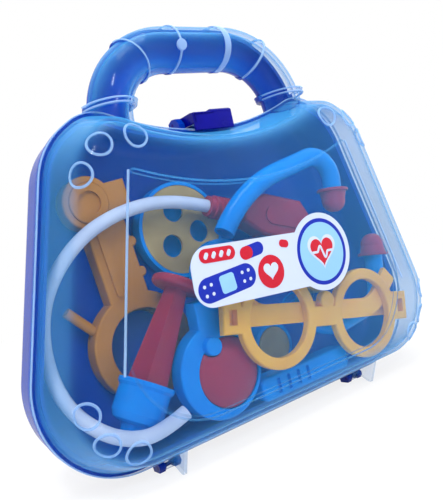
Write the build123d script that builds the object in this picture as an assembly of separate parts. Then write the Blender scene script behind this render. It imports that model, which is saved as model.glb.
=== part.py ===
"""Toy doctor case: a two-shell carry case with its toy instruments, in millimetres.

X is to the right seen from the front, Y points to the back and Z up. The origin is on the ground
under the middle of the case. Depths named here count from the parting plane, positive to the back.
"""

from build123d import *
from math import atan, cos, degrees, radians, sin, tan
import os

# --- Case outline, seen from the front ---------------------------------------------------------
BOTTOM_HALF_WIDTH = 118.0  # where the side lines would meet the bottom line
BOTTOM_Z = 5.5
SHOULDER_HALF_WIDTH = 81.1
SHOULDER_Z = 139.2
PEAK_HALF_WIDTH = 59.1  # outer foot of the handle
PEAK_Z = 153.3
DIP_Z = 139.3  # lowest point of the concave top edge
BOTTOM_CORNER_R = 36.7
SHOULDER_R = 33.0
PEAK_R = 19.5

# --- Shells ------------------------------------------------------------------------------------
COVER_DEPTH = 28.0  # parting plane to the raised front panel
BACK_DEPTH = 22.0
COVER_WALL = 1.8
BACK_WALL = 2.0
COVER_DRAFT = 17.0  # degrees
BACK_DRAFT = 2.0
COVER_EDGE_R = 11.0
BACK_EDGE_R = 8.0
RIM_PROUD = 1.0
RIM_WIDTH = 2.0
RIM_GAP = 0.2  # open seam between the closed shells
LIP_CLEARANCE = 0.4
LIP_THICKNESS = 1.2
LIP_HEIGHT = 1.5
LIP_ROOT = 3.0

PANEL_RISE = 1.2
PANEL_TOP_HALF_WIDTH = 60.0
PANEL_TOP_Z = 124.0
PANEL_DIP_Z = 112.0
PANEL_BOTTOM_HALF_WIDTH = 88.3
PANEL_BOTTOM_Z = 21.0
PANEL_TOP_R = 3.0
PANEL_BOTTOM_R = 34.0
BEAD_R = 5.0
BEAD_WIDTH = 0.8
BEAD_RISE = 0.4
BEAD_PLACES = [  # x, depth, z, then the skin's direction there: angle of the way out, lean from the front
    (68.4, -25.4, 133.8, 44, 30),
    (53.0, -26.4, 135.5, 85, 20),
    (77.5, -22.6, 123.5, 15, 52),
    (96.5, -24.7, 39.5, -6, 36),
    (91.6, -24.9, 26.9, -33, 34),
    (81.0, -25.8, 19.9, -64, 24),
]

# --- Handle ------------------------------------------------------------------------------------
HANDLE_HALF_SPAN = 48.9  # to the middle of each post
HANDLE_TOP_Z = 177.5  # middle of the grip
HANDLE_BEND_R = 32.7
HANDLE_HALF_WIDTH = 9.5
HANDLE_FRONT_HALF = 12.4
HANDLE_BACK_HALF = 8.0
HANDLE_WALL = 1.8
HANDLE_FOOT_Z = 137.0
GRIP_SWELL = 0.6
BAND_SWELL = 1.0
BAND_WIDTHS = ((-1, 1.6, 1.2), (1, 3.6, 1.6))  # side, inner band, outer band
BAND_ANGLE = 32.0  # outer bands, from the upright
INNER_BAND_X = 13.0
COLLAR_SWELL = 1.8
COLLAR_Z = 153.0
COLLAR_HEIGHT = 2.4

# --- Bottom hinge, which the case also stands on -------------------------------------------------
HINGE_X = 58.0
HINGE_Z = 2.1
KNUCKLE_R = 1.9
KNUCKLE_HALF = 2.0
LUG_GAP = 0.3
LUG_WIDTH = 3.0
LUG_BACK = 4.0
HINGE_PIN_R = 0.85
PIN_CLEARANCE = 0.05
FIN_HALF = 0.8
FIN_APEX = -12.0
FIN_FRONT = -18.5

# --- Latch ---------------------------------------------------------------------------------------
LATCH_HALF = 11.0
LATCH_GAP = 0.3
LATCH_EAR = 3.2
LATCH_PIN_Y = 6.0
LATCH_PIN_Z = 144.6
LATCH_PIN_R = 1.0
LATCH_BARREL_R = 2.5
LATCH_PLATE = 2.0
LATCH_FRONT = -6.6
LATCH_HOOK = 1.9
LATCH_CLEARANCE = 0.15
CATCH_HALF = 9.0
CATCH_FRONT = -4.3
CATCH_Z = 142.6
LATCH_HOOK_Z = CATCH_Z + LATCH_CLEARANCE

# --- Sticker -------------------------------------------------------------------------------------
LABEL_THICKNESS = 0.3
LABEL_SIZE = (86.0, 25.0)
LABEL_PLACE = (-1.0, 73.0, -4.0)  # x, z, turn
LABEL_ROUND = 9.0
LABEL_BADGE_R = 18.0
LABEL_BADGE_X = 29.0

# --- Toy instruments: places as (x, z, turn) and the depth of the back face -----------------------
DISH_PLACE = (-18.7, 97.3, 0.0)
DISH_R = 22.5
DISH_HEIGHT = 9.0
DISH_WALL = 1.6
DISH_LEDGE = 1.5
PLATE_THICKNESS = 1.4
PLATE_HOLE_R = 5.3
PLATE_HOLE_RING = 9.6
PLATE_HOLE_START = 105.0
PLATE_SMALL_HOLE = (13.6, 9.2)
PLATE_SMALL_HOLE_R = 3.0

VIEWER_PLACE = (-50.9, 51.0, 6.4)
VIEWER_BACK = 17.0
VIEWER_THICKNESS = 8.0
VIEWER_RING_R = 24.0
VIEWER_HOLE_R = 16.5
VIEWER_HANDLE_WIDTH = 19.0
VIEWER_HEAD = (-4.0, 66.0)
VIEWER_HEAD_R = 11.8
VIEWER_CAP_R = 9.2
VIEWER_CAP_DEPTH = 2.0
VIEWER_LENS_THICKNESS = 1.2
VIEWER_SEAT = 1.3
PEG_R = 2.2
LEFT_PEG = ((-81.5, 73.6), (-71.5, 62.8))
RIGHT_PEG = ((-46.0, 70.6), (-35.8, 68.4))

SYRINGE_PLACE = (-61.1, 38.2, -34.4)
SYRINGE_DEPTH = -4.0  # its axis
BARREL_R = 11.0
BARREL_RIM_R = 12.0
BARREL_BORE_R = 9.6
BARREL_BORE_DEPTH = 15.0
BARREL_FLOOR = 2.0
NOZZLE_LENGTH = 7.0
NOZZLE_ROOT_R = 5.6
NOZZLE_TIP_R = 4.5
PISTON_GAP = 0.1
PISTON_Y = -12.0
PISTON_HEIGHT = 3.0
PLUNGER_TOP_Y = 43.0
PLUNGER_FOOT_HALF = 9.2
PLUNGER_NECK_HALF = 4.8
PLUNGER_RIDGE_TURN = 14.0
THUMB_DISC_R = 11.5
THUMB_DISC_THICKNESS = 4.0
THUMB_DISC_EDGE = 1.6

GAUGE_PLACE = (-29.2, 33.9, 2.5)
GAUGE_BACK = -5.0
GAUGE_R = 21.0
GAUGE_THICKNESS = 8.0
GAUGE_NECK_WIDTH = 12.4
GAUGE_NECK_LEAN = 0.7
GAUGE_NECK_TOP = 31.4
DOME_PLACE = (3.0, -1.8)  # off the middle of the housing
DOME_R = 15.2
DOME_RISE = 5.0
DOME_SKIRT = 1.9
DOME_RECESS = 4.0
DOME_TRAVEL = 1.4
NUB_PLACE = (-3.2, 11.9)
NUB_R = 4.0
NUB_HEIGHT = 3.4

GRIP_PLACE = (17.8, 17.6, 0.0)
GRIP_BACK = -3.0
GRIP_SIZE = (56.0, 11.0, 9.0)
GRIP_SLOT = (2.2, 7.0, 2.0)
GRIP_SLOT_PITCH = 6.2

GLASSES_PLACE = (28.7, 42.3, -11.5)
GLASSES_BACK = -17.5
GLASSES_THICKNESS = 3.5
RIM_SPACING = 56.0
RIM_OUTER_R = 22.2
RIM_INNER_R = 16.8
BRIDGE_HEIGHT = 9.5
HINGE_BLOCK = (10.0, 14.5)
HINGE_BLOCK_X = 54.0
HINGE_BLOCK_Y = 2.5
BLOCK_EAR = 2.2
BLOCK_WINDOW = (4.2, 6.6)
TEMPLE_THICKNESS = 2.3
TEMPLE_HEIGHT = 9.5
TEMPLE_GAP = 0.3
TEMPLE_STRAIGHT = 38.0  # local x where the ear hook starts to rise
TEMPLE_HOOK = (52.0, 19.5)
TEMPLE_PIN_R = 0.9

TUBE_R = 3.0
TUBE_ROUTE = [  # x, depth, z: from the connector round the left side to the open end
    (-6.54, 4.3, 105.24),
    (-25.6, 4.3, 111.43),
    (-49.0, 4.0, 110.4),
    (-67.6, 4.6, 104.4),
    (-81.0, 7.2, 94.0),
    (-90.4, 9.6, 80.4),
    (-94.4, 10.6, 65.6),
    (-94.6, 10.0, 50.0),
    (-92.0, 5.0, 36.5),
    (-86.0, -5.0, 27.0),
    (-78.0, -13.5, 22.0),
    (-66.7, -17.3, 20.8),
    (-54.3, -18.6, 25.4),
]
CONNECTOR_PLACE = (10.2, 99.8, -18.0)
STETHOSCOPE_DEPTH = 4.3  # axis of tube end, connector and body
CONNECTOR_LENGTH = 17.6
CONNECTOR_R = 4.9
CONNECTOR_RIB_R = 5.6
BODY_LENGTH = 42.0
BODY_HALF_HEIGHT = 10.5
BODY_THICKNESS = 12.0
ARM_R = 4.8
ARM_DEPTH = -6.8
ARM_BORE_R = 3.5
ARM_BORE_DEPTH = 3.0
UPPER_ARM = [(-8.5, 91.0), (8.5, 110.0), (69.5, 122.5), (65.5, 97.0)]
UPPER_ARM_BENDS = (70.0, 12.0)
LOWER_ARM = [(21.0, 53.0), (36.0, 31.0), (82.0, 36.5), (86.8, 65.0)]
LOWER_ARM_BENDS = (30.0, 11.0)
EAR_TIP_R = 6.9
EAR_TIP_FLANGE_R = 8.2
EAR_TIP_LENGTH = 12.0
EAR_TIP_SOCKET = 4.0
EAR_TIP_HOLE_R = 1.6

LOOP_PLACE = (-7.0, 71.7, 20.0)
LOOP_BACK = 5.7
LOOP_R = 17.5
LOOP_WIDTH = 3.4

REAR_DISC_PLACE = (64.0, 63.0, 0.0)
REAR_DISC_R = 16.0
REAR_DISC_THICKNESS = 6.0
HOLDER_PLACE = (15.0, 31.0, 0.0)
HOLDER_BACK = 13.0
HOLDER_R = 12.0
HOLDER_HEIGHT = 8.0
SMALL_DISC_R = 9.6
SMALL_DISC_THICKNESS = 3.0

# --- Clearances inside the case --------------------------------------------------------------------
REST_GAP = 0.3
FIT_GAP = 0.2
BACK_INNER = BACK_DEPTH - BACK_WALL
RESTING_BACK = BACK_INNER - REST_GAP

PARTING_Y = (COVER_DEPTH + LABEL_THICKNESS - BACK_DEPTH) / 2
COVER_BODY = COVER_DEPTH - PANEL_RISE


# --- Helpers -----------------------------------------------------------------------------------
def front_plane(depth, x=0.0, z=0.0, turn=0.0):
    """A plane facing the front: local x to the right, local y up, growing towards the viewer."""
    lean = radians(turn)
    return Plane(origin=(x, PARTING_Y + depth, z), x_dir=(cos(lean), 0, sin(lean)), z_dir=(0, -1, 0))


def fillet_at(sketch, points, radius):
    """Rounds the corners of a flat sketch that lie at the given points."""
    corners = [v for v in sketch.vertices() if any((Vector(*p) - Vector(v.X, v.Y)).length < 0.01 for p in points)]
    return fillet(corners, radius)


def mirrored(points):
    """The points with their mirror images across the middle plane."""
    return points + [(-x, y) for x, y in points]


def box_between(x0, x1, y0, y1, z0, z1):
    """A box given by its limits, with depths from the parting plane."""
    size = (x1 - x0, y1 - y0, z1 - z0)
    middle = ((x0 + x1) / 2, PARTING_Y + (y0 + y1) / 2, (z0 + z1) / 2)
    return Pos(*middle) * Box(*size)


def side_plate(points, x0, x1):
    """A plate across X whose outline is given as (depth, z) points."""
    outline = make_face(Polyline(*[(PARTING_Y + y, z) for y, z in points], close=True))
    return extrude(Plane(origin=(x0, 0, 0), x_dir=(0, 1, 0), z_dir=(1, 0, 0)) * outline, x1 - x0)


def cross_rod(radius, x0, x1, depth, z):
    """A round rod along X."""
    start = Plane(origin=(x0, PARTING_Y + depth, z), x_dir=(0, 1, 0), z_dir=(1, 0, 0))
    return extrude(start * Circle(radius), x1 - x0)


def rod(start, end, radius):
    """A round rod between two points."""
    axis = Vector(*end) - Vector(*start)
    return extrude(Plane(origin=start, z_dir=axis) * Circle(radius), axis.length)


# --- Case outline and shells -------------------------------------------------------------------
def case_outline(grow=0.0):
    """The bag-shaped outline, grown or shrunk evenly."""
    bottom = (BOTTOM_HALF_WIDTH, BOTTOM_Z)
    shoulder = (SHOULDER_HALF_WIDTH, SHOULDER_Z)
    peak = (PEAK_HALF_WIDTH, PEAK_Z)
    left = [(-x, y) for x, y in (peak, shoulder, bottom)]
    edges = Polyline(*left, bottom, shoulder, peak) + ThreePointArc(peak, (0, DIP_Z), left[0])
    face = make_face(edges)
    face = fillet_at(face, mirrored([bottom]), BOTTOM_CORNER_R)
    face = fillet_at(face, mirrored([shoulder]), SHOULDER_R)
    face = fillet_at(face, mirrored([peak]), PEAK_R)
    return offset(face, grow) if grow else face


def panel_outline(grow=0.0):
    """The raised front panel."""
    bottom = (PANEL_BOTTOM_HALF_WIDTH, PANEL_BOTTOM_Z)
    top = (PANEL_TOP_HALF_WIDTH, PANEL_TOP_Z)
    left = [(-x, y) for x, y in (top, bottom)]
    face = make_face(Polyline(*left, bottom, top) + ThreePointArc(top, (0, PANEL_DIP_Z), left[0]))
    face = fillet_at(face, mirrored([bottom]), PANEL_BOTTOM_R)
    face = fillet_at(face, mirrored([top]), PANEL_TOP_R)
    return offset(face, grow) if grow else face


def rounded_tub(grow, start, depth, draft, edge_r):
    """A drafted block from one depth to another, with its far edge rounded."""
    towards_front = depth < start
    plane = front_plane(start)
    amount = start - depth
    body = extrude(plane * case_outline(grow), abs(amount), dir=(0, -1 if towards_front else 1, 0), taper=draft)
    far = PARTING_Y + depth
    return fillet(body.edges().filter_by(lambda e: abs(e.center().Y - far) < 0.01), edge_r)


def rim_band(grow_out, grow_in, depth_back, depth_front):
    """A flat band that follows the outline."""
    return extrude(front_plane(depth_back) * (case_outline(grow_out) - case_outline(grow_in)), depth_back - depth_front)


# --- Handle --------------------------------------------------------------------------------------
def handle_path():
    """The arch that the handle's section follows."""
    x, top, bend = HANDLE_HALF_SPAN, HANDLE_TOP_Z, HANDLE_BEND_R
    points = [(x, HANDLE_FOOT_Z), (x, top), (-x, top), (-x, HANDLE_FOOT_Z)]
    line = FilletPolyline(*[(px, PARTING_Y, pz) for px, pz in points], radius=bend)
    return line


def handle_sweep(half_depth, grow=0.0, front=True):
    """Half of the handle as a solid bar, on one side of the parting plane."""
    side = -1 if front else 1
    section = Plane(origin=(HANDLE_HALF_SPAN, PARTING_Y, HANDLE_FOOT_Z), x_dir=(1, 0, 0), z_dir=(0, 0, 1))
    oval = Ellipse(HANDLE_HALF_WIDTH + grow, half_depth + grow)
    half = oval & Pos(0, side * 50) * Rectangle(100, 100)
    return sweep(section * half, path=handle_path())


def grip_wedge():
    """The sector of the arch between the outer bands."""
    bend_x = HANDLE_HALF_SPAN - HANDLE_BEND_R
    bend_z = HANDLE_TOP_Z - HANDLE_BEND_R
    reach = 70.0
    out_x = bend_x + reach * sin(radians(BAND_ANGLE))
    out_z = bend_z + reach * cos(radians(BAND_ANGLE))
    points = [(bend_x, bend_z), (out_x, out_z), (-out_x, out_z), (-bend_x, bend_z)]
    return extrude(front_plane(50) * make_face(Polyline(*points, close=True)), 100)


def band_slabs():
    """Thin slabs that cut the four raised bands out of a thicker bar, and the collars at the feet."""
    bend_x = HANDLE_HALF_SPAN - HANDLE_BEND_R
    bend_z = HANDLE_TOP_Z - HANDLE_BEND_R
    slabs = []
    for side, inner, outer in BAND_WIDTHS:
        slabs.append(Pos(side * INNER_BAND_X, PARTING_Y, HANDLE_TOP_Z) * Box(inner, 60, 40))
        place = Location((side * bend_x, PARTING_Y, bend_z), (0, side * BAND_ANGLE, 0))
        slabs.append(place * Pos(0, 0, HANDLE_BEND_R) * Box(outer, 60, 40))
    return slabs


def handle_half(half_depth, front):
    """Half of the hollow handle with its swollen grip, bands and collars."""
    solid = handle_sweep(half_depth, front=front)
    solid += handle_sweep(half_depth, GRIP_SWELL, front) & grip_wedge()
    thick = handle_sweep(half_depth, BAND_SWELL, front)
    for slab in band_slabs():
        solid += thick & slab
    collar = Pos(0, PARTING_Y, COLLAR_Z) * Box(200, 60, COLLAR_HEIGHT)
    solid += handle_sweep(half_depth, COLLAR_SWELL, front) & collar
    return solid - handle_sweep(half_depth, -HANDLE_WALL, front)


# --- Hinge and latch pieces -------------------------------------------------------------------------
def hinge_lugs():
    """Back shell lugs on both sides of each cover knuckle; they are also the rear feet."""
    lugs = []
    for side in (-1, 1):
        for edge in (-1, 1):
            near = KNUCKLE_HALF + LUG_GAP
            x0 = side * HINGE_X + (near if edge > 0 else -near - LUG_WIDTH)
            plate = [(-KNUCKLE_R * 0.5, 0), (LUG_BACK, 0), (LUG_BACK + 1.5, BOTTOM_Z + 1), (RIM_GAP + 0.1, BOTTOM_Z + 1)]
            lug = side_plate(plate + [(RIM_GAP + 0.1, HINGE_Z)], x0, x0 + LUG_WIDTH)
            lug += cross_rod(KNUCKLE_R, x0, x0 + LUG_WIDTH, 0, HINGE_Z)
            bore = cross_rod(HINGE_PIN_R, x0 - 1, x0 + LUG_WIDTH + 1, 0, HINGE_Z)
            lugs.append((lug, bore))
    return lugs


def hinge_pin(side):
    """A pin through one pair of lugs and the knuckle between them."""
    reach = KNUCKLE_HALF + LUG_GAP + LUG_WIDTH
    return cross_rod(HINGE_PIN_R, side * HINGE_X - reach, side * HINGE_X + reach, 0, HINGE_Z)


def build_back_shell():
    tub = rounded_tub(0, 0, BACK_DEPTH, BACK_DRAFT, BACK_EDGE_R)
    tub += rim_band(RIM_PROUD, -BACK_WALL, RIM_WIDTH, 0)
    tub += handle_half(HANDLE_BACK_HALF, front=False)
    ear_x = LATCH_HALF + LATCH_GAP
    for side in (-1, 1):
        ear = [(0.6, DIP_Z - 1), (9.5, DIP_Z - 1), (9.0, 146.0), (6.0, 147.3), (3.0, 147.0), (0.6, 144.0)]
        x0 = ear_x if side > 0 else -ear_x - LATCH_EAR
        tub += side_plate(ear, x0, x0 + LATCH_EAR)
    lugs = hinge_lugs()
    for lug, _ in lugs:
        tub += lug
    tub -= rounded_tub(-BACK_WALL, -1, BACK_INNER, BACK_DRAFT, BACK_EDGE_R - BACK_WALL)
    lip_out = -COVER_WALL - LIP_CLEARANCE - LIP_HEIGHT * tan(radians(COVER_DRAFT))
    tub += rim_band(lip_out, lip_out - LIP_THICKNESS, LIP_ROOT, -LIP_HEIGHT)
    tub += rim_band(-BACK_WALL + 0.5, lip_out - 0.5, LIP_ROOT, 0)
    tub -= cross_rod(LATCH_PIN_R, -30, 30, LATCH_PIN_Y, LATCH_PIN_Z)
    for _, bore in lugs:
        tub -= bore
    return tub


def build_front_cover():
    outer = rounded_tub(0, -RIM_GAP, -COVER_BODY, COVER_DRAFT, COVER_EDGE_R)
    outer += extrude(front_plane(-COVER_BODY + 0.01) * panel_outline(), PANEL_RISE + 0.01, taper=40)
    beads = rounded_tub(BEAD_RISE, -RIM_GAP, -COVER_BODY - BEAD_RISE, COVER_DRAFT, COVER_EDGE_R)
    washer = extrude(Circle(BEAD_R) - Circle(BEAD_R - BEAD_WIDTH), BEAD_R, both=True)
    for x, depth, z, turn, lean in BEAD_PLACES:
        out, fore = sin(radians(lean)), cos(radians(lean))
        for side in (-1, 1):
            facing = (side * out * cos(radians(turn)), -fore, out * sin(radians(turn)))
            outer += beads & (Plane(origin=(side * x, PARTING_Y + depth, z), z_dir=facing) * washer)
    outer += rim_band(RIM_PROUD, -COVER_WALL, -RIM_GAP, -RIM_GAP - RIM_WIDTH)
    shell_front = Pos(0, -RIM_GAP, 0) * handle_half(HANDLE_FRONT_HALF, front=True)
    outer += shell_front
    outer += box_between(-CATCH_HALF, CATCH_HALF, CATCH_FRONT, -RIM_GAP, DIP_Z - 2, CATCH_Z)
    web = [(FIN_FRONT, BOTTOM_Z + 6.5), (FIN_APEX - 0.8, 0), (FIN_APEX + 0.8, 0), (-5.0, 3.6), (-2.2, 4.2)]
    bores = []
    for side in (-1, 1):
        middle = side * HINGE_X
        fin = side_plate(web + [(-RIM_GAP - 0.1, BOTTOM_Z + 1), (-4, BOTTOM_Z + 3)], middle - FIN_HALF, middle + FIN_HALF)
        arm = [(-RIM_GAP - 0.1, BOTTOM_Z + 1), (-RIM_GAP - 0.1, HINGE_Z), (-1.6, HINGE_Z), (-4.5, BOTTOM_Z + 1.8)]
        fin += side_plate(arm, middle - KNUCKLE_HALF, middle + KNUCKLE_HALF)
        fin += cross_rod(KNUCKLE_R, middle - KNUCKLE_HALF, middle + KNUCKLE_HALF, 0, HINGE_Z)
        outer += fin
        bores.append(cross_rod(HINGE_PIN_R + PIN_CLEARANCE, middle - 3, middle + 3, 0, HINGE_Z))
    outer -= rounded_tub(-COVER_WALL, 0, COVER_WALL - COVER_BODY, COVER_DRAFT, COVER_EDGE_R - COVER_WALL)
    recess = panel_outline(-COVER_WALL * 0.6)
    outer -= extrude(front_plane(COVER_WALL - COVER_BODY + 0.01) * recess, PANEL_RISE + 0.01, taper=40)
    for bore in bores:
        outer -= bore
    return outer


def build_latch():
    """Clip that turns up about its pin; its nose closes down onto the cover's catch rib."""
    top = LATCH_PIN_Z + LATCH_BARREL_R
    profile = [
        (LATCH_PIN_Y, top),
        (LATCH_FRONT + 1, top),
        (LATCH_FRONT, top - 1),
        (LATCH_FRONT, LATCH_HOOK_Z),
        (LATCH_FRONT + LATCH_HOOK, LATCH_HOOK_Z),
        (LATCH_FRONT + LATCH_HOOK, top - LATCH_PLATE),
        (LATCH_PIN_Y, top - LATCH_PLATE),
    ]
    clip = side_plate(profile, -LATCH_HALF, LATCH_HALF)
    clip += cross_rod(LATCH_BARREL_R, -LATCH_HALF, LATCH_HALF, LATCH_PIN_Y, LATCH_PIN_Z)
    clip -= cross_rod(LATCH_PIN_R + PIN_CLEARANCE, -LATCH_HALF - 1, LATCH_HALF + 1, LATCH_PIN_Y, LATCH_PIN_Z)
    return clip


def build_latch_pin():
    reach = LATCH_HALF + LATCH_GAP + LATCH_EAR
    return cross_rod(LATCH_PIN_R, -reach, reach, LATCH_PIN_Y, LATCH_PIN_Z)


def build_label():
    x, z, turn = LABEL_PLACE
    shape = RectangleRounded(*LABEL_SIZE, LABEL_ROUND) + Pos(LABEL_BADGE_X, 2) * Circle(LABEL_BADGE_R)
    return extrude(front_plane(-COVER_DEPTH, x, z, turn) * shape, LABEL_THICKNESS)


# --- Round dish ------------------------------------------------------------------------------------
def disc(radius, height, start=0.0):
    """A flat disc that grows from the given local height."""
    return Pos(0, 0, start) * extrude(Circle(radius), height)


def softened(solid, radius):
    """Rounds the front edges of a plate that lies flat in local coordinates."""
    return fillet(solid.faces().sort_by(Axis.Z)[-1].edges(), radius)


def build_dish():
    ledge = DISH_HEIGHT - PLATE_THICKNESS - FIT_GAP
    cup = disc(DISH_R, DISH_HEIGHT)
    cup = fillet(cup.faces().sort_by(Axis.Z)[0].edges(), 3)
    cup -= disc(DISH_R - DISH_WALL - DISH_LEDGE, DISH_HEIGHT, DISH_WALL)
    cup -= disc(DISH_R - DISH_WALL, DISH_HEIGHT, ledge)
    return front_plane(RESTING_BACK, *DISH_PLACE) * cup


def build_dish_plate():
    plate = disc(DISH_R - DISH_WALL - FIT_GAP, PLATE_THICKNESS, DISH_HEIGHT - PLATE_THICKNESS - FIT_GAP)
    for spot in PolarLocations(PLATE_HOLE_RING, 3, PLATE_HOLE_START):
        plate -= spot * disc(PLATE_HOLE_R, DISH_HEIGHT + 1)
    plate -= Pos(*PLATE_SMALL_HOLE) * disc(PLATE_SMALL_HOLE_R, DISH_HEIGHT + 1)
    return front_plane(RESTING_BACK, *DISH_PLACE) * plate


# --- Yellow viewer ----------------------------------------------------------------------------------
def build_viewer_body():
    width, top = VIEWER_HANDLE_WIDTH, VIEWER_HEAD[1]
    handle = Pos(0, (VIEWER_RING_R + top) / 2 - 4) * Rectangle(width, top - VIEWER_RING_R + 8)
    shape = Circle(VIEWER_RING_R) + handle + Pos(*VIEWER_HEAD) * Circle(VIEWER_HEAD_R)
    shape += Pos(width * 0.45, top - 2) * Rectangle(width * 0.7, width * 0.9)
    for bump_y in (31.0, 45.0):
        shape += Pos(width / 2, bump_y) * Circle(2.4)
    body = softened(extrude(shape, VIEWER_THICKNESS), 1.0)
    rib = extrude(Pos(-width * 0.22, 42) * RectangleRounded(3.2, 36, 1.5), VIEWER_THICKNESS + 1.2)
    body += rib
    body -= disc(VIEWER_HOLE_R, 30, VIEWER_SEAT + 1.5)
    body -= disc(VIEWER_HOLE_R - VIEWER_SEAT, 30, -1)
    body -= Pos(*VIEWER_HEAD) * disc(VIEWER_CAP_R, 30, VIEWER_THICKNESS - VIEWER_CAP_DEPTH)
    body = front_plane(VIEWER_BACK, *VIEWER_PLACE) * body
    middle = PARTING_Y + VIEWER_BACK - VIEWER_THICKNESS / 2
    ring = front_plane(VIEWER_BACK, *VIEWER_PLACE) * disc(VIEWER_HOLE_R + 1, VIEWER_THICKNESS)
    for start, end in (LEFT_PEG, RIGHT_PEG):
        body += rod((start[0], middle, start[1]), (end[0], middle, end[1]), PEG_R) - ring
    return body


def build_viewer_lens():
    lens = disc(VIEWER_HOLE_R - FIT_GAP, VIEWER_LENS_THICKNESS, VIEWER_SEAT + 1.5)
    return front_plane(VIEWER_BACK, *VIEWER_PLACE) * lens


def build_viewer_cap():
    cap = disc(VIEWER_CAP_R - FIT_GAP, VIEWER_CAP_DEPTH + 0.8, VIEWER_THICKNESS - VIEWER_CAP_DEPTH)
    cap = softened(cap, 0.7)
    cap -= disc(VIEWER_CAP_R - 4, 9, VIEWER_THICKNESS - 0.6)
    return front_plane(VIEWER_BACK, *VIEWER_PLACE) * (Pos(*VIEWER_HEAD) * cap)


# --- Syringe: turned shapes about the local Y axis ---------------------------------------------------
def build_syringe_barrel():
    bottom = -BARREL_BORE_DEPTH - BARREL_FLOOR
    profile = [
        (0, bottom - NOZZLE_LENGTH),
        (NOZZLE_TIP_R - 0.8, bottom - NOZZLE_LENGTH),
        (NOZZLE_TIP_R, bottom - NOZZLE_LENGTH + 0.8),
        (NOZZLE_ROOT_R, bottom),
        (BARREL_R - 4.0, bottom),
        (BARREL_R - 1.2, bottom + 1.2),
        (BARREL_R, bottom + 4.0),
        (BARREL_R, -3.0),
        (BARREL_RIM_R, -1.8),
        (BARREL_RIM_R, 0),
        (BARREL_BORE_R, 0),
        (BARREL_BORE_R, -BARREL_BORE_DEPTH),
        (0, -BARREL_BORE_DEPTH),
    ]
    barrel = revolve(make_face(Polyline(*profile, close=True)), Axis.Y)
    return front_plane(SYRINGE_DEPTH, *SYRINGE_PLACE) * barrel


def build_syringe_plunger():
    def level(y):
        return Plane(origin=(0, y, 0), x_dir=(1, 0, 0), z_dir=(0, 1, 0))

    foot_y = PISTON_Y + PISTON_HEIGHT
    foot = level(foot_y) * Rot(0, 0, PLUNGER_RIDGE_TURN) * Rectangle(PLUNGER_FOOT_HALF * 2**0.5, PLUNGER_FOOT_HALF * 2**0.5)
    neck = level(PLUNGER_TOP_Y - 2) * Rot(0, 0, PLUNGER_RIDGE_TURN) * Rectangle(PLUNGER_NECK_HALF * 2**0.5, PLUNGER_NECK_HALF * 2**0.5)
    plunger = loft([foot, neck])
    plunger += extrude(level(PISTON_Y) * Circle(BARREL_BORE_R - PISTON_GAP), PISTON_HEIGHT)
    thumb = extrude(level(PLUNGER_TOP_Y - THUMB_DISC_THICKNESS / 2) * Circle(THUMB_DISC_R), THUMB_DISC_THICKNESS)
    plunger += fillet(thumb.edges().filter_by(GeomType.CIRCLE), THUMB_DISC_EDGE)
    return front_plane(SYRINGE_DEPTH, *SYRINGE_PLACE) * plunger


# --- Pressure gauge --------------------------------------------------------------------------------
def build_gauge_housing():
    half, lean, top = GAUGE_NECK_WIDTH / 2, GAUGE_NECK_LEAN, GAUGE_NECK_TOP
    neck = make_face(Polyline((-7.5, 8), (8, 8), (lean + half, top), (lean - half, top), close=True))
    body = softened(extrude(Circle(GAUGE_R) + neck, GAUGE_THICKNESS), 1.0)
    body -= Pos(*DOME_PLACE) * disc(DOME_R + 0.5, DOME_RECESS + 1, GAUGE_THICKNESS - DOME_RECESS)
    nub = Pos(*NUB_PLACE, GAUGE_THICKNESS - DOME_RECESS) * extrude(Circle(NUB_R), DOME_RECESS + NUB_HEIGHT)
    body += softened(nub, 0.8)
    return front_plane(GAUGE_BACK, *GAUGE_PLACE) * body


def build_gauge_dome():
    base = GAUGE_THICKNESS - DOME_RECESS + DOME_TRAVEL + FIT_GAP
    ball_r = (DOME_R**2 + DOME_RISE**2) / (2 * DOME_RISE)
    top = base + DOME_SKIRT + DOME_RISE
    dome = disc(DOME_R, DOME_SKIRT + DOME_RISE, base) & (Pos(0, 0, top - ball_r) * Sphere(ball_r))
    dome = Pos(*DOME_PLACE) * dome - Pos(*NUB_PLACE) * disc(NUB_R + 0.5, 40)
    return front_plane(GAUGE_BACK, *GAUGE_PLACE) * dome


def build_gauge_grip():
    length, height, thickness = GRIP_SIZE
    grip = softened(extrude(RectangleRounded(length, height, 3), thickness), 1.2)
    wide, tall, deep = GRIP_SLOT
    for spot in GridLocations(GRIP_SLOT_PITCH, 0, 4, 1):
        grip -= spot * Pos(-9, 0, thickness - deep) * extrude(RectangleRounded(wide, tall, 0.8), deep + 1)
    return front_plane(GRIP_BACK, *GRIP_PLACE) * grip


# --- Glasses, folded ---------------------------------------------------------------------------------
def temple_depths(side):
    """Back face of a folded temple: the right one lies behind the left one."""
    step = TEMPLE_THICKNESS + TEMPLE_GAP
    return step if side < 0 else 2 * step


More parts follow.
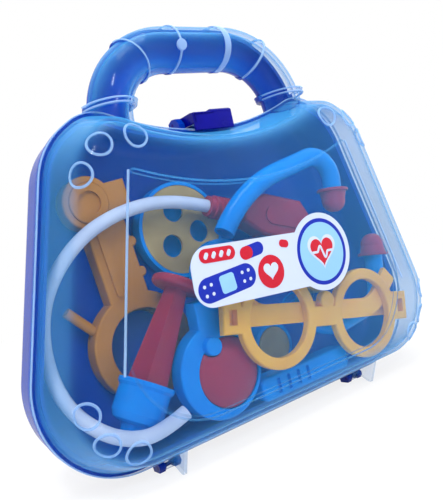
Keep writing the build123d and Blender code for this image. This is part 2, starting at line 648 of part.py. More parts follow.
def build_glasses_front():
    half = RIM_SPACING / 2
    block = Rectangle(*HINGE_BLOCK)
    shape = Rectangle(RIM_SPACING, BRIDGE_HEIGHT) + Pos(2, BRIDGE_HEIGHT / 2 + 2.5) * Circle(4.5)
    for side in (-1, 1):
        shape += Pos(side * half, 0) * Circle(RIM_OUTER_R)
        shape += Pos(side * HINGE_BLOCK_X, HINGE_BLOCK_Y) * block
    for side in (-1, 1):
        shape -= Pos(side * half, 0) * Circle(RIM_INNER_R)
    front = softened(extrude(shape, GLASSES_THICKNESS), 0.9)
    for side in (-1, 1):
        front -= Pos(side * HINGE_BLOCK_X, HINGE_BLOCK_Y) * extrude(Rectangle(*BLOCK_WINDOW), GLASSES_THICKNESS)
        reach = temple_depths(side)
        pin_x = side * HINGE_BLOCK_X
        for edge in (-1, 1):
            ear_y = HINGE_BLOCK_Y + edge * (HINGE_BLOCK[1] - BLOCK_EAR) / 2
            front += Pos(pin_x, ear_y, -reach / 2) * Box(5.0, BLOCK_EAR, reach)
        front -= temple_pin_rod(side, TEMPLE_PIN_R, 1)
    return front_plane(GLASSES_BACK, *GLASSES_PLACE) * front


def temple_pin_rod(side, radius, extra=0.0):
    """The pin of one temple, along local Y."""
    length = HINGE_BLOCK[1] + 2 * extra
    depth = temple_depths(side) - TEMPLE_THICKNESS / 2
    base = Plane(origin=(side * HINGE_BLOCK_X, HINGE_BLOCK_Y - length / 2, -depth), x_dir=(1, 0, 0), z_dir=(0, 1, 0))
    return extrude(base * Circle(radius), length)


def build_temple(side):
    pin_x = -HINGE_BLOCK_X - 2.0
    hook_x, hook_y = TEMPLE_HOOK
    line = FilletPolyline((pin_x, HINGE_BLOCK_Y), (TEMPLE_STRAIGHT, HINGE_BLOCK_Y), (hook_x, hook_y), radius=16)
    shape = trace(line, TEMPLE_HEIGHT)
    bar = extrude(shape, TEMPLE_THICKNESS)
    if side > 0:
        bar = bar.mirror(Plane.YZ)
    bar = Pos(0, 0, -temple_depths(side)) * bar
    bar -= temple_pin_rod(side, TEMPLE_PIN_R + PIN_CLEARANCE, 1)
    return front_plane(GLASSES_BACK, *GLASSES_PLACE) * bar


def build_glasses_pins():
    pins = [temple_pin_rod(side, TEMPLE_PIN_R) for side in (-1, 1)]
    return front_plane(GLASSES_BACK, *GLASSES_PLACE) * (Part() + pins)


# --- Stethoscope -------------------------------------------------------------------------------------
def bend_radii(points, share=0.45):
    """The largest arcs that the runs beside each corner allow."""
    radii = []
    for before, here, after in zip(points, points[1:], points[2:]):
        run_in = Vector(*here) - Vector(*before)
        run_out = Vector(*after) - Vector(*here)
        half_turn = radians(run_in.get_angle(run_out)) / 2
        radii.append(share * min(run_in.length, run_out.length) / tan(half_turn))
    return radii


def build_stethoscope_tube():
    points = [(x, PARTING_Y + depth, z) for x, depth, z in TUBE_ROUTE]
    radii = bend_radii(points)
    line = FilletPolyline(*points, radius=radii)
    tube = sweep(Plane(origin=line @ 0, z_dir=line % 0) * Circle(TUBE_R), path=line)
    print("tube radii", [round(r, 1) for r in radii], "length", round(line.length, 1))
    print("tube volume", round(tube.volume, 1), "section times length", round(3.14159 * TUBE_R**2 * line.length, 1))
    return tube


def build_tube_connector():
    profile = [(-CONNECTOR_LENGTH, 0), (-CONNECTOR_LENGTH, CONNECTOR_R)]
    for rib in range(4):
        start = -CONNECTOR_LENGTH + 2.5 + rib * 3.0
        profile += [(start, CONNECTOR_R), (start + 0.4, CONNECTOR_RIB_R), (start + 1.6, CONNECTOR_RIB_R), (start + 2.0, CONNECTOR_R)]
    profile += [(0, CONNECTOR_R), (0, 0)]
    connector = revolve(make_face(Polyline(*profile, close=True)), Axis.X)
    return front_plane(STETHOSCOPE_DEPTH, *CONNECTOR_PLACE) * connector


def build_stethoscope_body():
    half, length, shoulder = BODY_HALF_HEIGHT, BODY_LENGTH, 13.0
    points = [(0, -5.5), (0, 5.5), (shoulder, half), (length - 6, half), (length, half - 6), (length, 4 - half)]
    points += [(length - 4, -half), (shoulder, -half)]
    body = extrude(make_face(Polyline(*points, close=True)), BODY_THICKNESS / 2, both=True)
    front = body.faces().sort_by(Axis.Z)[-1].edges()
    back = body.faces().sort_by(Axis.Z)[0].edges()
    body = fillet(front + back, 2.0)
    rib = Pos(length / 2 + 4, 0, BODY_THICKNESS / 2 - 1) * extrude(SlotOverall(length - 18, 9), 1.8)
    return front_plane(STETHOSCOPE_DEPTH, *CONNECTOR_PLACE) * (body + rib)


def arm_line(route):
    points = [(x, PARTING_Y + ARM_DEPTH, z) for x, z in route]
    return FilletPolyline(*points, radius=UPPER_ARM_BENDS if route is UPPER_ARM else LOWER_ARM_BENDS)


def build_arm(route):
    line = arm_line(route)
    arm = sweep(Plane(origin=line @ 0, z_dir=line % 0) * Circle(ARM_R), path=line)
    bore_start = Plane(origin=line @ 0, z_dir=line % 0)
    return arm - extrude(bore_start * Circle(ARM_BORE_R), ARM_BORE_DEPTH)


def build_ear_tip(route):
    """A soft bell that the arm's end plugs into, turned about the arm's last run."""
    line = arm_line(route)
    socket_r = ARM_R + FIT_GAP
    top = EAR_TIP_LENGTH - EAR_TIP_SOCKET
    sleeve = [
        (EAR_TIP_R - 0.8, 1.5),
        (EAR_TIP_R, 1.7 - EAR_TIP_SOCKET),
        (EAR_TIP_FLANGE_R, 1.4 - EAR_TIP_SOCKET),
        (EAR_TIP_FLANGE_R, 0.3 - EAR_TIP_SOCKET),
        (EAR_TIP_FLANGE_R - 0.3, -EAR_TIP_SOCKET),
        (socket_r, -EAR_TIP_SOCKET),
        (socket_r, 0),
        (0, 0),
        (0, top),
        (EAR_TIP_HOLE_R, top),
    ]
    bell = Polyline(*sleeve) + ThreePointArc(sleeve[-1], (4.6, top - 1.8), sleeve[0])
    tip = revolve(make_face(bell), Axis.Y)
    direction = line % 1
    seat = Plane(origin=line @ 1, x_dir=(0, 1, 0), z_dir=direction.cross(Vector(0, 1, 0)) * -1)
    return seat * tip


# --- Pieces mostly hidden behind the others -------------------------------------------------------------
def build_loop_tool():
    inner = LOOP_R - LOOP_WIDTH
    ring = extrude(Circle(LOOP_R) - Circle(inner), LOOP_WIDTH)
    for spoke_y in (-5.0, 5.0):
        ring += Pos(0, spoke_y, LOOP_WIDTH / 2) * Box(2 * inner, 2.4, LOOP_WIDTH - 1)
    return front_plane(LOOP_BACK, *LOOP_PLACE) * ring


def build_rear_disc():
    body = softened(disc(REAR_DISC_R, REAR_DISC_THICKNESS), 1.5)
    body -= disc(REAR_DISC_R - 3, 5, REAR_DISC_THICKNESS - 1)
    return front_plane(RESTING_BACK, *REAR_DISC_PLACE) * body


def build_small_disc_holder():
    cup = softened(disc(HOLDER_R, HOLDER_HEIGHT), 1.0)
    cup -= disc(SMALL_DISC_R + FIT_GAP, HOLDER_HEIGHT, HOLDER_HEIGHT - SMALL_DISC_THICKNESS + 0.5)
    return front_plane(HOLDER_BACK, *HOLDER_PLACE) * cup


def build_small_disc():
    plug = disc(SMALL_DISC_R, SMALL_DISC_THICKNESS, HOLDER_HEIGHT - SMALL_DISC_THICKNESS + 0.5)
    return front_plane(HOLDER_BACK, *HOLDER_PLACE) * softened(plug, 0.8)


NODES = {
    "back_shell": build_back_shell,
    "front_cover": build_front_cover,
    "hinge_pin_left": lambda: hinge_pin(-1),
    "hinge_pin_right": lambda: hinge_pin(1),
    "latch": build_latch,
    "latch_pin": build_latch_pin,
    "label": build_label,
    "dish": build_dish,
    "dish_plate": build_dish_plate,
    "viewer_body": build_viewer_body,
    "viewer_lens": build_viewer_lens,
    "viewer_cap": build_viewer_cap,
    "syringe_barrel": build_syringe_barrel,
    "syringe_plunger": build_syringe_plunger,
    "gauge_housing": build_gauge_housing,
    "gauge_dome": build_gauge_dome,
    "gauge_grip": build_gauge_grip,
    "glasses_front": build_glasses_front,
    "glasses_temple_left": lambda: build_temple(-1),
    "glasses_temple_right": lambda: build_temple(1),
    "glasses_pins": build_glasses_pins,
    "stethoscope_tube": build_stethoscope_tube,
    "tube_connector": build_tube_connector,
    "stethoscope_body": build_stethoscope_body,
    "headset_arm_upper": lambda: build_arm(UPPER_ARM),
    "headset_arm_lower": lambda: build_arm(LOWER_ARM),
    "ear_tip_upper": lambda: build_ear_tip(UPPER_ARM),
    "ear_tip_lower": lambda: build_ear_tip(LOWER_ARM),
    "loop_tool": build_loop_tool,
    "rear_disc": build_rear_disc,
    "small_disc_holder": build_small_disc_holder,
    "small_disc": build_small_disc,
}

os.makedirs("parts", exist_ok=True)
for name, build in NODES.items():
    export_step(build(), f"parts/{name}.step")
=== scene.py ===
"""Dresses a toy doctor case: clear cover, blue back shell, handle, latch and the toys packed inside.

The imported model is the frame. Sizes here are millimetres in the model's own axes: X to the right seen
from the cover, Y to the back, Z up. A depth counts from the parting plane between the two shells: to
the back where it is called depth, and to the viewer where its name or comment says forwards.
"""

from __future__ import annotations

import logging
import math
from dataclasses import dataclass, field
from enum import Enum
from typing import Sequence
import bpy
import numpy as np
from mathutils import Matrix, Vector


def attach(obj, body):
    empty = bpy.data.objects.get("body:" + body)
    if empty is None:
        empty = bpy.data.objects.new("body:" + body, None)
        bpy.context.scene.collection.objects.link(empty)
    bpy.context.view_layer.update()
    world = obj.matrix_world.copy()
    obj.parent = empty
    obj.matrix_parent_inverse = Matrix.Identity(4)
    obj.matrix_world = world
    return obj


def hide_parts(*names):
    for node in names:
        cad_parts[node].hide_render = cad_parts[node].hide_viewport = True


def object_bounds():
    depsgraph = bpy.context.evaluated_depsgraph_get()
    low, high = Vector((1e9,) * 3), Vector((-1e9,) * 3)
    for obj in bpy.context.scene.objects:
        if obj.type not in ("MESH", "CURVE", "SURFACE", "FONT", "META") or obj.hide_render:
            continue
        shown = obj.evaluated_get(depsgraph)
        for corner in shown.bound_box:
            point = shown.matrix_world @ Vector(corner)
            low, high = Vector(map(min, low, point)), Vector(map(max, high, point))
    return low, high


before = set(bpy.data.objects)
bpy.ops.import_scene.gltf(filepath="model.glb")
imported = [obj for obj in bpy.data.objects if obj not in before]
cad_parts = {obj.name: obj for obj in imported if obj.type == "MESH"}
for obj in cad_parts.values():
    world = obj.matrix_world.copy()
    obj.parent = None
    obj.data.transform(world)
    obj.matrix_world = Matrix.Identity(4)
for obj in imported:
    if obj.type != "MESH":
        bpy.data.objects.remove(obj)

CAD_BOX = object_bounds()
LOG = logging.getLogger("doctor_case")
MM = 0.001
PARTING_Y = 3.15
DOWN = np.array([0.0, -1.0])
TO_VIEWER = np.array([0.0, -1.0, 0.0])
WHITE = (1.0, 1.0, 1.0, 1.0)


# --- Directions ------------------------------------------------------------------------------------
def unit(way: np.ndarray) -> np.ndarray:
    """A direction, or each row of directions, divided by its length."""
    return way / np.linalg.norm(way, axis=-1, keepdims=True)


def right_of(way: np.ndarray) -> np.ndarray:
    """Flat directions turned a quarter clockwise: (x, y) becomes (y, -x)."""
    return np.stack([way[..., 1], -way[..., 0]], axis=-1)


def round_loop(count: int) -> np.ndarray:
    """Angles of evenly spaced points right round a circle."""
    return np.linspace(0.0, 2 * math.pi, count, endpoint=False)


# --- Forms: arrays of points with faces ------------------------------------------------------------
@dataclass
class Form:
    """A closed surface: points in millimetres and faces as rows of point numbers."""

    points: np.ndarray
    faces: list[np.ndarray]

    def volume(self) -> float:
        """Signed volume: a sixth of the sum of the corner triple products of every fan triangle.

        Returns:
            The volume in cubic millimetres, negative where the faces point inwards.
        """
        total = 0.0
        for block in self.faces:
            corner = self.points[block]
            for k in range(1, block.shape[1] - 1):
                triple = np.cross(corner[:, k], corner[:, k + 1])
                total += float(np.einsum("ij,ij->", corner[:, 0], triple))
        return total / 6.0

    def outward(self) -> Form:
        """The same form with every face turned outwards."""
        if self.volume() < 0:
            return Form(self.points, [block[:, ::-1] for block in self.faces])
        return self

    def at(self, place: Place) -> Form:
        """The form carried from a place's own axes into the model's."""
        return Form(place.to_model(self.points), self.faces)

    def shifted(self, dx: float = 0.0, dy: float = 0.0, dz: float = 0.0) -> Form:
        """The form moved by the given steps."""
        return Form(self.points + np.array([dx, dy, dz]), self.faces)

    def turned(self, degrees: float) -> Form:
        """The form turned about its own third axis: (x cos t - y sin t, x sin t + y cos t).

        Args:
            degrees: the turn, counter-clockwise.
        Returns:
            The turned form.
        """
        c, s = math.cos(math.radians(degrees)), math.sin(math.radians(degrees))
        turn = np.array([[c, s, 0.0], [-s, c, 0.0], [0.0, 0.0, 1.0]])
        return Form(self.points @ turn, self.faces)


@dataclass(frozen=True)
class Place:
    """A spot in the case: own x runs right, own y up, and own height grows towards the viewer."""

    x: float = 0.0
    z: float = 0.0
    turn: float = 0.0
    depth: float = 0.0

    def to_model(self, points: np.ndarray) -> np.ndarray:
        """X = x + px cos t - py sin t, Y = parting + depth - ph, Z = z + px sin t + py cos t.

        Args:
            points: rows of own x, y and height.
        Returns:
            Rows of model X, Y, Z.
        """
        c, s = math.cos(math.radians(self.turn)), math.sin(math.radians(self.turn))
        px, py, ph = points.T
        return np.stack(
            [self.x + px * c - py * s, PARTING_Y + self.depth - ph, self.z + px * s + py * c], axis=1
        )


def join(forms: Sequence[Form]) -> Form:
    """Stacks several closed forms into one.

    Args:
        forms: the forms, which may overlap.
    Returns:
        One set of points, with every form's faces outwards.
    """
    points, faces, base = [], [], 0
    for form in forms:
        solid = form.outward()
        points.append(solid.points)
        faces += [block + base for block in solid.faces]
        base += len(solid.points)
    return Form(np.concatenate(points), faces)


def woven(rows: np.ndarray, wrap_rows: bool = False) -> Form:
    """Skin over a grid of points: quads join point (i, j) to its neighbours, and each ring closes.

    Args:
        rows: array of rings, shape (rings, points, 3).
        wrap_rows: True where the last ring joins the first, as on a hoop. Otherwise each end closes
            with a fan to the middle of its ring.
    Returns:
        The closed form.
    """
    rings, around = rows.shape[:2]
    index = np.arange(rings * around).reshape(rings, around)
    here = index if wrap_rows else index[:-1]
    there = np.roll(index, -1, axis=0) if wrap_rows else index[1:]
    quads = np.stack([here, np.roll(here, -1, axis=1), np.roll(there, -1, axis=1), there], axis=-1)
    points, faces = rows.reshape(-1, 3), [quads.reshape(-1, 4)]
    if not wrap_rows:
        first, last = len(points), len(points) + 1
        near, far = index[0], index[-1]
        points = np.concatenate([points, np.stack([rows[0].mean(axis=0), rows[-1].mean(axis=0)])])
        faces.append(np.stack([np.full(around, first), np.roll(near, -1), near], axis=1))
        faces.append(np.stack([np.full(around, last), far, np.roll(far, -1)], axis=1))
    return Form(points, faces).outward()


# --- Flat lines ------------------------------------------------------------------------------------
@dataclass
class FlatLine:
    """A line in a plane: its points and the unit normal at each, outwards where the line is closed."""

    points: np.ndarray
    normals: np.ndarray

    def inset(self, amount: float) -> np.ndarray:
        """The line moved evenly inwards: each point less its normal times the amount."""
        return self.points - self.normals * amount

    def with_mirror_image(self) -> FlatLine:
        """The right half followed by its mirror image in x, with the last point used once.

        Returns:
            The closed line.
        """
        flip = np.array([-1.0, 1.0])
        return FlatLine(
            np.concatenate([self.points, self.points[-2::-1] * flip]),
            np.concatenate([self.normals, self.normals[-2::-1] * flip]),
        )


def chained(parts: Sequence[FlatLine]) -> FlatLine:
    """Several lines as one, end to end."""
    return FlatLine(np.concatenate([p.points for p in parts]), np.concatenate([p.normals for p in parts]))


def arc(centre: np.ndarray, radius: float, start: float, stop: float, steps: int) -> FlatLine:
    """Part of a circle: centre + radius (cos a, sin a), with outward normals.

    Args:
        centre: the circle's middle.
        radius: its radius.
        start, stop: first and last angle in radians.
        steps: number of points.
    Returns:
        The arc.
    """
    angle = np.linspace(start, stop, steps)
    normal = np.stack([np.cos(angle), np.sin(angle)], axis=1)
    return FlatLine(centre + normal * radius, normal)


def dipped(centre_height: float, radius: float, reach: float, steps: int) -> FlatLine:
    """A hollow top edge: the underside of a circle, from its right end to the middle of the case.

    Args:
        centre_height: height of the circle's middle, which lies over the edge.
        radius: its radius.
        reach: angle of the right end from straight down, in radians.
        steps: number of points.
    Returns:
        The edge, its normals towards the circle's middle.
    """
    line = arc(np.array([0.0, centre_height]), radius, reach - math.pi / 2, -math.pi / 2, steps)
    return FlatLine(line.points, -line.normals)


def dip_radius(half_width: float, drop: float) -> float:
    """Radius of the circle through two ends and the lowest point between: (w^2 + d^2) / 2d."""
    return (half_width**2 + drop**2) / (2 * drop)


def corner_centre(corner: np.ndarray, first: np.ndarray, second: np.ndarray, radius: float) -> np.ndarray:
    """Centre of the arc that rounds a corner: the corner less (n1 + n2) r / (1 + n1 . n2)."""
    return corner - (first + second) * radius / (1 + float(first @ second))


def circle(radius: float, steps: int = 72) -> FlatLine:
    """A whole circle about the origin.

    Args:
        radius: its radius.
        steps: number of points.
    Returns:
        The closed line.
    """
    angle = round_loop(steps)
    normal = np.stack([np.cos(angle), np.sin(angle)], axis=1)
    return FlatLine(normal * radius, normal)


def rounded_rectangle(width: float, height: float, radius: float, per_corner: int = 10) -> FlatLine:
    """A rectangle with round corners: each corner is a quarter circle about its own centre.

    Args:
        width, height: the outer sizes.
        radius: the corners' radius.
        per_corner: points on each quarter circle.
    Returns:
        The closed line.
    """
    corners = []
    for quarter, (sx, sy) in enumerate(((1, 1), (-1, 1), (-1, -1), (1, -1))):
        centre = np.array([sx * (width / 2 - radius), sy * (height / 2 - radius)])
        start = quarter * math.pi / 2
        corners.append(arc(centre, radius, start, start + math.pi / 2, per_corner))
    return chained(corners)


def capsule(length: float, width: float) -> FlatLine:
    """A rectangle whose ends are half circles, a hair short of it so that no two points coincide."""
    return rounded_rectangle(length, width, width / 2 - 0.01)


def rounded_polygon(corners: Sequence[tuple[float, float]], radius: float, per_corner: int = 4) -> FlatLine:
    """A convex polygon with every corner rounded: each arc turns from one side's normal to the next's.

    Args:
        corners: the points, counter-clockwise.
        radius: the corners' radius.
        per_corner: points on each arc.
    Returns:
        The closed line.
    """
    shape = np.asarray(corners, dtype=float)
    arcs = []
    for before, here, after in zip(np.roll(shape, 1, axis=0), shape, np.roll(shape, -1, axis=0)):
        first, second = right_of(unit(here - before)), right_of(unit(after - here))
        start, stop = math.atan2(first[1], first[0]), math.atan2(second[1], second[0])
        stop += 2 * math.pi * (stop < start)
        arcs.append(arc(corner_centre(here, first, second, radius), radius, start, stop, per_corner))
    return chained(arcs)


def heart(width: float, steps: int = 72) -> FlatLine:
    """A heart: x = 16 sin^3 t, y = 13 cos t - 5 cos 2t - 2 cos 3t - cos 4t, scaled to a width.

    Args:
        width: the heart's width.
        steps: number of points.
    Returns:
        The closed line, its middle near the origin.
    """
    full_width, rise, off_cusp = 32.0, 2.5, 0.02
    t = off_cusp - round_loop(steps)
    x = 16 * np.sin(t) ** 3
    y = 13 * np.cos(t) - 5 * np.cos(2 * t) - 2 * np.cos(3 * t) - np.cos(4 * t) + rise
    points = np.stack([x, y], axis=1) * width / full_width
    return FlatLine(points, unit(right_of(np.roll(points, -1, axis=0) - np.roll(points, 1, axis=0))))


def bent_path(corners: Sequence[tuple[float, float]], radius: float, step: float) -> FlatLine:
    """Straight runs joined by tangent arcs.

    Args:
        corners: the runs' end points.
        radius: the arc's radius at every inner corner.
        step: rough distance between an arc's points.
    Returns:
        The open line, with normals to the left.
    """
    fewest = 6
    shape = np.asarray(corners, dtype=float)
    ways = unit(np.diff(shape, axis=0))
    lefts = -right_of(ways)
    points, normals = [shape[:1]], [lefts[:1]]
    for here, way_in, way_out, left in zip(shape[1:], ways, ways[1:], lefts):
        bend = math.atan2(way_in[0] * way_out[1] - way_in[1] * way_out[0], float(way_in @ way_out))
        side = math.copysign(1.0, bend)
        arm = -left * side * radius
        centre = here - way_in * radius * math.tan(abs(bend) / 2) - arm
        turn = np.linspace(0.0, bend, max(fewest, int(abs(bend) * radius / step)))
        c, s = np.cos(turn), np.sin(turn)
        swung = np.stack([arm[0] * c - arm[1] * s, arm[0] * s + arm[1] * c], axis=1)
        points.append(centre + swung)
        normals.append(-swung * side / radius)
    return FlatLine(np.concatenate([*points, shape[-1:]]), np.concatenate([*normals, lefts[-1:]]))


# --- Forms made from lines -------------------------------------------------------------------------
def slab(outline: FlatLine, low: float, high: float, edge: float) -> Form:
    """A plate of the outline's shape with quarter-round rims: inset e - e sin a, height e - e cos a.

    Args:
        outline: the plate's closed line.
        low, high: heights of its two faces.
        edge: radius of its rims.
    Returns:
        The closed form.
    """
    bend = np.linspace(0.0, math.pi / 2, 5)
    short, long = edge - edge * np.sin(bend), edge - edge * np.cos(bend)
    insets, heights = [*short, *long], [*(low + long), *(high - short)]
    count = len(outline.points)
    rows = [np.column_stack([outline.inset(i), np.full(count, h)]) for i, h in zip(insets, heights)]
    return woven(np.stack(rows))


def side_slab(corners: Sequence[tuple[float, float]], x_span: tuple[float, float], radius: float) -> Form:
    """A plate that stands across X.

    Args:
        corners: (depth, z) points, counter-clockwise in that plane.
        x_span: its two faces' X.
        radius: the corners' radius.
    Returns:
        The closed form.
    """
    thick_edge, edge_share = 0.3, 0.25
    edge = min(thick_edge, (x_span[1] - x_span[0]) * edge_share)
    flat = slab(rounded_polygon(corners, radius), *x_span, edge)
    y, z, x = flat.points.T
    return Form(np.stack([x, PARTING_Y + y, z], axis=1), flat.faces).outward()


def ribbon(path: FlatLine, width: float, thickness: float) -> Form:
    """A flat ribbon: the path plus and minus its normal times half the width.

    Args:
        path: the middle line.
        width: across the line.
        thickness: height over zero.
    Returns:
        The closed form.
    """
    half = path.normals * width / 2
    corners = [(half, 0.0), (half, thickness), (-half, thickness), (-half, 0.0)]
    rows = [np.column_stack([path.points + move, np.full(len(half), h)]) for move, h in corners]
    return woven(np.stack(rows, axis=1))


def bead(
    line: np.ndarray,
    side: np.ndarray,
    rise: np.ndarray,
    half_width: float,
    height: float,
    closed: bool = False,
) -> Form:
    """A low rounded bead along a line: line + side * w cos a + rise * h sin a.

    Args:
        line: the middle line's points.
        side: unit direction across the bead, one for all or one a point.
        rise: unit direction away from the skin, one for all or one a point.
        half_width: half the bead's width.
        height: the bead's height over and under the line.
        closed: True where the line's end meets its start.
    Returns:
        The closed form.
    """
    angle = round_loop(12 if closed else 14)[:, None]
    across = np.broadcast_to(side, line.shape)[:, None] * np.cos(angle) * half_width
    up = np.broadcast_to(rise, line.shape)[:, None] * np.sin(angle) * height
    return woven(line[:, None] + across + up, wrap_rows=closed)


def rod(start: np.ndarray, end: np.ndarray, radius: float, edge: float) -> Form:
    """A round rod between two points: rings about its axis, drawn in at both ends.

    Args:
        start, end: the middles of its two ends.
        radius: its radius.
        edge: how far each end is drawn in.
    Returns:
        The closed form.
    """
    ring, drawn_in, nearly = 32, 0.3, 0.9
    axis, length = unit(end - start), float(np.linalg.norm(end - start))
    side = unit(np.cross(axis, [0.0, 1.0, 0.0] if abs(axis[1]) < nearly else [1.0, 0.0, 0.0]))
    other = np.cross(axis, side)
    angle = round_loop(ring)[:, None]
    stations = [(0.0, radius - edge), (edge * drawn_in, radius - edge * drawn_in), (edge, radius)]
    stations += [(length - t, r) for t, r in reversed(stations)]
    rows = [start + axis * t + r * (np.cos(angle) * side + np.sin(angle) * other) for t, r in stations]
    return woven(np.stack(rows))


def mesh_of(name: str, form: Form, sharp: float) -> bpy.types.Object:
    """Puts a form into a new object at the origin, in metres, and shades it smooth.

    Args:
        name: the piece's name.
        form: points in millimetres with their faces.
        sharp: angle in degrees over which two faces meet in a crease.
    Returns:
        The new object.
    """
    solid = form.outward()
    mesh = bpy.data.meshes.new(name)
    rows = [row for part in solid.faces for row in part.tolist()]
    mesh.from_pydata((solid.points * MM).tolist(), [], rows)
    mesh.polygons.foreach_set("use_smooth", np.ones(len(mesh.polygons), dtype=bool))
    mesh.set_sharp_from_angle(angle=math.radians(sharp))
    mesh.update()
    piece = bpy.data.objects.new(name, mesh)
    bpy.context.scene.collection.objects.link(piece)
    return piece


# --- Finishes --------------------------------------------------------------------------------------
def linear(colour: str) -> tuple[float, float, float, float]:
    """An sRGB hex colour in linear light: c / 12.92 when dark, else ((c + 0.055) / 1.055) ^ 2.4.

    Args:
        colour: hash sign and six hex digits.
    Returns:
        Red, green, blue and an alpha of 1.
    """
    channels = [int(colour[k : k + 2], 16) / 255 for k in (1, 3, 5)]
    lit = [c / 12.92 if c <= 0.04045 else ((c + 0.055) / 1.055) ** 2.4 for c in channels]
    return lit[0], lit[1], lit[2], 1.0


def add(
    tree: bpy.types.NodeTree, kind: str, inputs: dict[str | int, object] | None = None, **settings: object
) -> bpy.types.Node:
    """Adds a node with its settings and links.

    Args:
        tree: the material's node tree.
        kind: the node's type name.
        inputs: socket name or number to a value, or to another node's output that feeds it.
        settings: the node's own attributes.
    Returns:
        The new node.
    """
    node = tree.nodes.new(kind)
    for name, value in settings.items():
        setattr(node, name, value)
    for socket, value in (inputs or {}).items():
        if isinstance(value, bpy.types.NodeSocket):
            tree.links.new(value, node.inputs[socket])
        else:
            node.inputs[socket].default_value = value
    return node


def new_tree(name: str) -> tuple[bpy.types.Material, bpy.types.NodeTree, bpy.types.NodeSocket]:
    """Starts an empty material.

    Args:
        name: the material's name.
    Returns:
        The material, its tree and the output's surface socket.
    """
    material = bpy.data.materials.new(name)
    material.use_nodes = True
    material.node_tree.nodes.clear()
    out = material.node_tree.nodes.new("ShaderNodeOutputMaterial")
    return material, material.node_tree, out.inputs["Surface"]


def mixed(
    tree: bpy.types.NodeTree, share: bpy.types.NodeSocket, colours: tuple[str, str]
) -> bpy.types.NodeSocket:
    """Two colours mixed.

    Args:
        tree: the material's node tree.
        share: 0 for the first colour and 1 for the second.
        colours: both colours, as hex.
    Returns:
        The mixed colour.
    """
    first, second = (linear(colour) for colour in colours)
    mix = add(tree, "ShaderNodeMix", {"Factor": share, "A": first, "B": second}, data_type="RGBA")
    return mix.outputs["Result"]


def blended(
    tree: bpy.types.NodeTree,
    pattern: bpy.types.NodeSocket,
    span: tuple[float, float],
    colours: tuple[str, str],
    most: float = 1.0,
) -> bpy.types.NodeSocket:
    """Two colours mixed by a pattern: the first below the span, and up to a share of the second above it.

    Args:
        tree: the material's node tree.
        pattern: the pattern's value.
        span: the values between which the mix grows.
        colours: both colours, as hex.
        most: the second colour's share at the top of the span.
    Returns:
        The mixed colour.
    """
    share = add(
        tree, "ShaderNodeMapRange",
        {"Value": pattern, "From Min": span[0], "From Max": span[1], "To Max": most},
    )
    return mixed(tree, share.outputs["Result"], colours)


def rippled(
    tree: bpy.types.NodeTree,
    where: bpy.types.NodeSocket,
    wave_mm: float,
    depth_mm: float,
    strength: float,
    detail: float,
) -> bpy.types.NodeSocket:
    """A normal tilted by noise of a real wave length and depth: 1000 / wave_mm waves in a metre.

    Args:
        tree: the material's node tree.
        where: Object coordinates.
        wave_mm: distance between crests.
        depth_mm: height of a crest.
        strength: the bump's own strength.
        detail: how many finer waves ride on it.
    Returns:
        The tilted normal.
    """
    noise = add(tree, "ShaderNodeTexNoise", {"Vector": where, "Scale": 1000 / wave_mm, "Detail": detail})
    bump = add(
        tree, "ShaderNodeBump",
        {"Height": noise.outputs["Fac"], "Distance": depth_mm * MM, "Strength": strength},
    )
    return bump.outputs["Normal"]


@dataclass(frozen=True)
class MouldedPlastic:
    """Coloured polystyrene, injection-moulded in a polished tool, or soft vinyl from a smooth die.

    The eye sees an even colour with faint flow clouds, soft highlights that wobble with the orange peel,
    and fine dull hairlines where toys rub.
    """

    name: str
    colour: str
    shade: str
    roughness: float = 0.24
    ior: float = 1.59  # polystyrene
    cloud_mm: float = 14.0
    cloud_span: tuple[float, float] = (0.35, 0.7)
    peel_mm: float = 1.6  # real peel is about 0.5 mm; drawn coarser so that it shows
    peel_depth_mm: float = 0.012
    hair_mm: tuple[float, float, float] = (18.0, 0.35, 6.0)
    hair_lay: tuple[float, float, float] = (0.5, 0.9, 0.4)
    hair_span: tuple[float, float] = (0.66, 0.78)
    scuff: float = 0.16
    mirror: float = 0.12  # full strength is 0.5; less, as the white surround would wash the colours out
    glow: float = 0.06
    glow_depth_mm: float = 2.0

    def scuffed(self, tree: bpy.types.NodeTree, where: bpy.types.NodeSocket) -> bpy.types.NodeSocket:
        """The roughness, raised along hairlines: noise drawn out along one way, kept at its crests.

        Args:
            tree: the material's node tree.
            where: Object coordinates.
        Returns:
            The roughness.
        """
        scale = tuple(1000 / size for size in self.hair_mm)
        lay = add(tree, "ShaderNodeMapping", {"Vector": where, "Rotation": self.hair_lay, "Scale": scale})
        hair = add(tree, "ShaderNodeTexNoise", {"Vector": lay.outputs["Vector"], "Scale": 1.0, "Detail": 1.0})
        low, high = self.hair_span
        scratch = add(
            tree, "ShaderNodeMapRange",
            {"Value": hair.outputs["Fac"], "From Min": low, "From Max": high, "To Max": self.scuff},
        )
        rough = add(
            tree, "ShaderNodeMath", {0: scratch.outputs["Result"], 1: self.roughness}, operation="ADD"
        )
        return rough.outputs["Value"]

    def make(self) -> bpy.types.Material:
        """Builds the node material.

        Returns:
            The material.
        """
        material, tree, surface = new_tree(self.name)
        where = add(tree, "ShaderNodeTexCoord").outputs["Object"]
        clouds = add(
            tree, "ShaderNodeTexNoise",
            {"Vector": where, "Scale": 1000 / self.cloud_mm, "Detail": 3.0, "Roughness": 0.55},
        ).outputs["Fac"]
        shader = add(
            tree, "ShaderNodeBsdfPrincipled",
            {
                "Base Color": blended(tree, clouds, self.cloud_span, (self.colour, self.shade)),
                "Roughness": self.scuffed(tree, where),
                "IOR": self.ior,
                "Specular IOR Level": self.mirror,
                "Normal": rippled(tree, where, self.peel_mm, self.peel_depth_mm, strength=0.6, detail=1.0),
                "Subsurface Weight": self.glow,
                "Subsurface Radius": (1.0, 1.0, 1.0),
                "Subsurface Scale": self.glow_depth_mm * MM,
            },
        )
        tree.links.new(shader.outputs["BSDF"], surface)
        return material


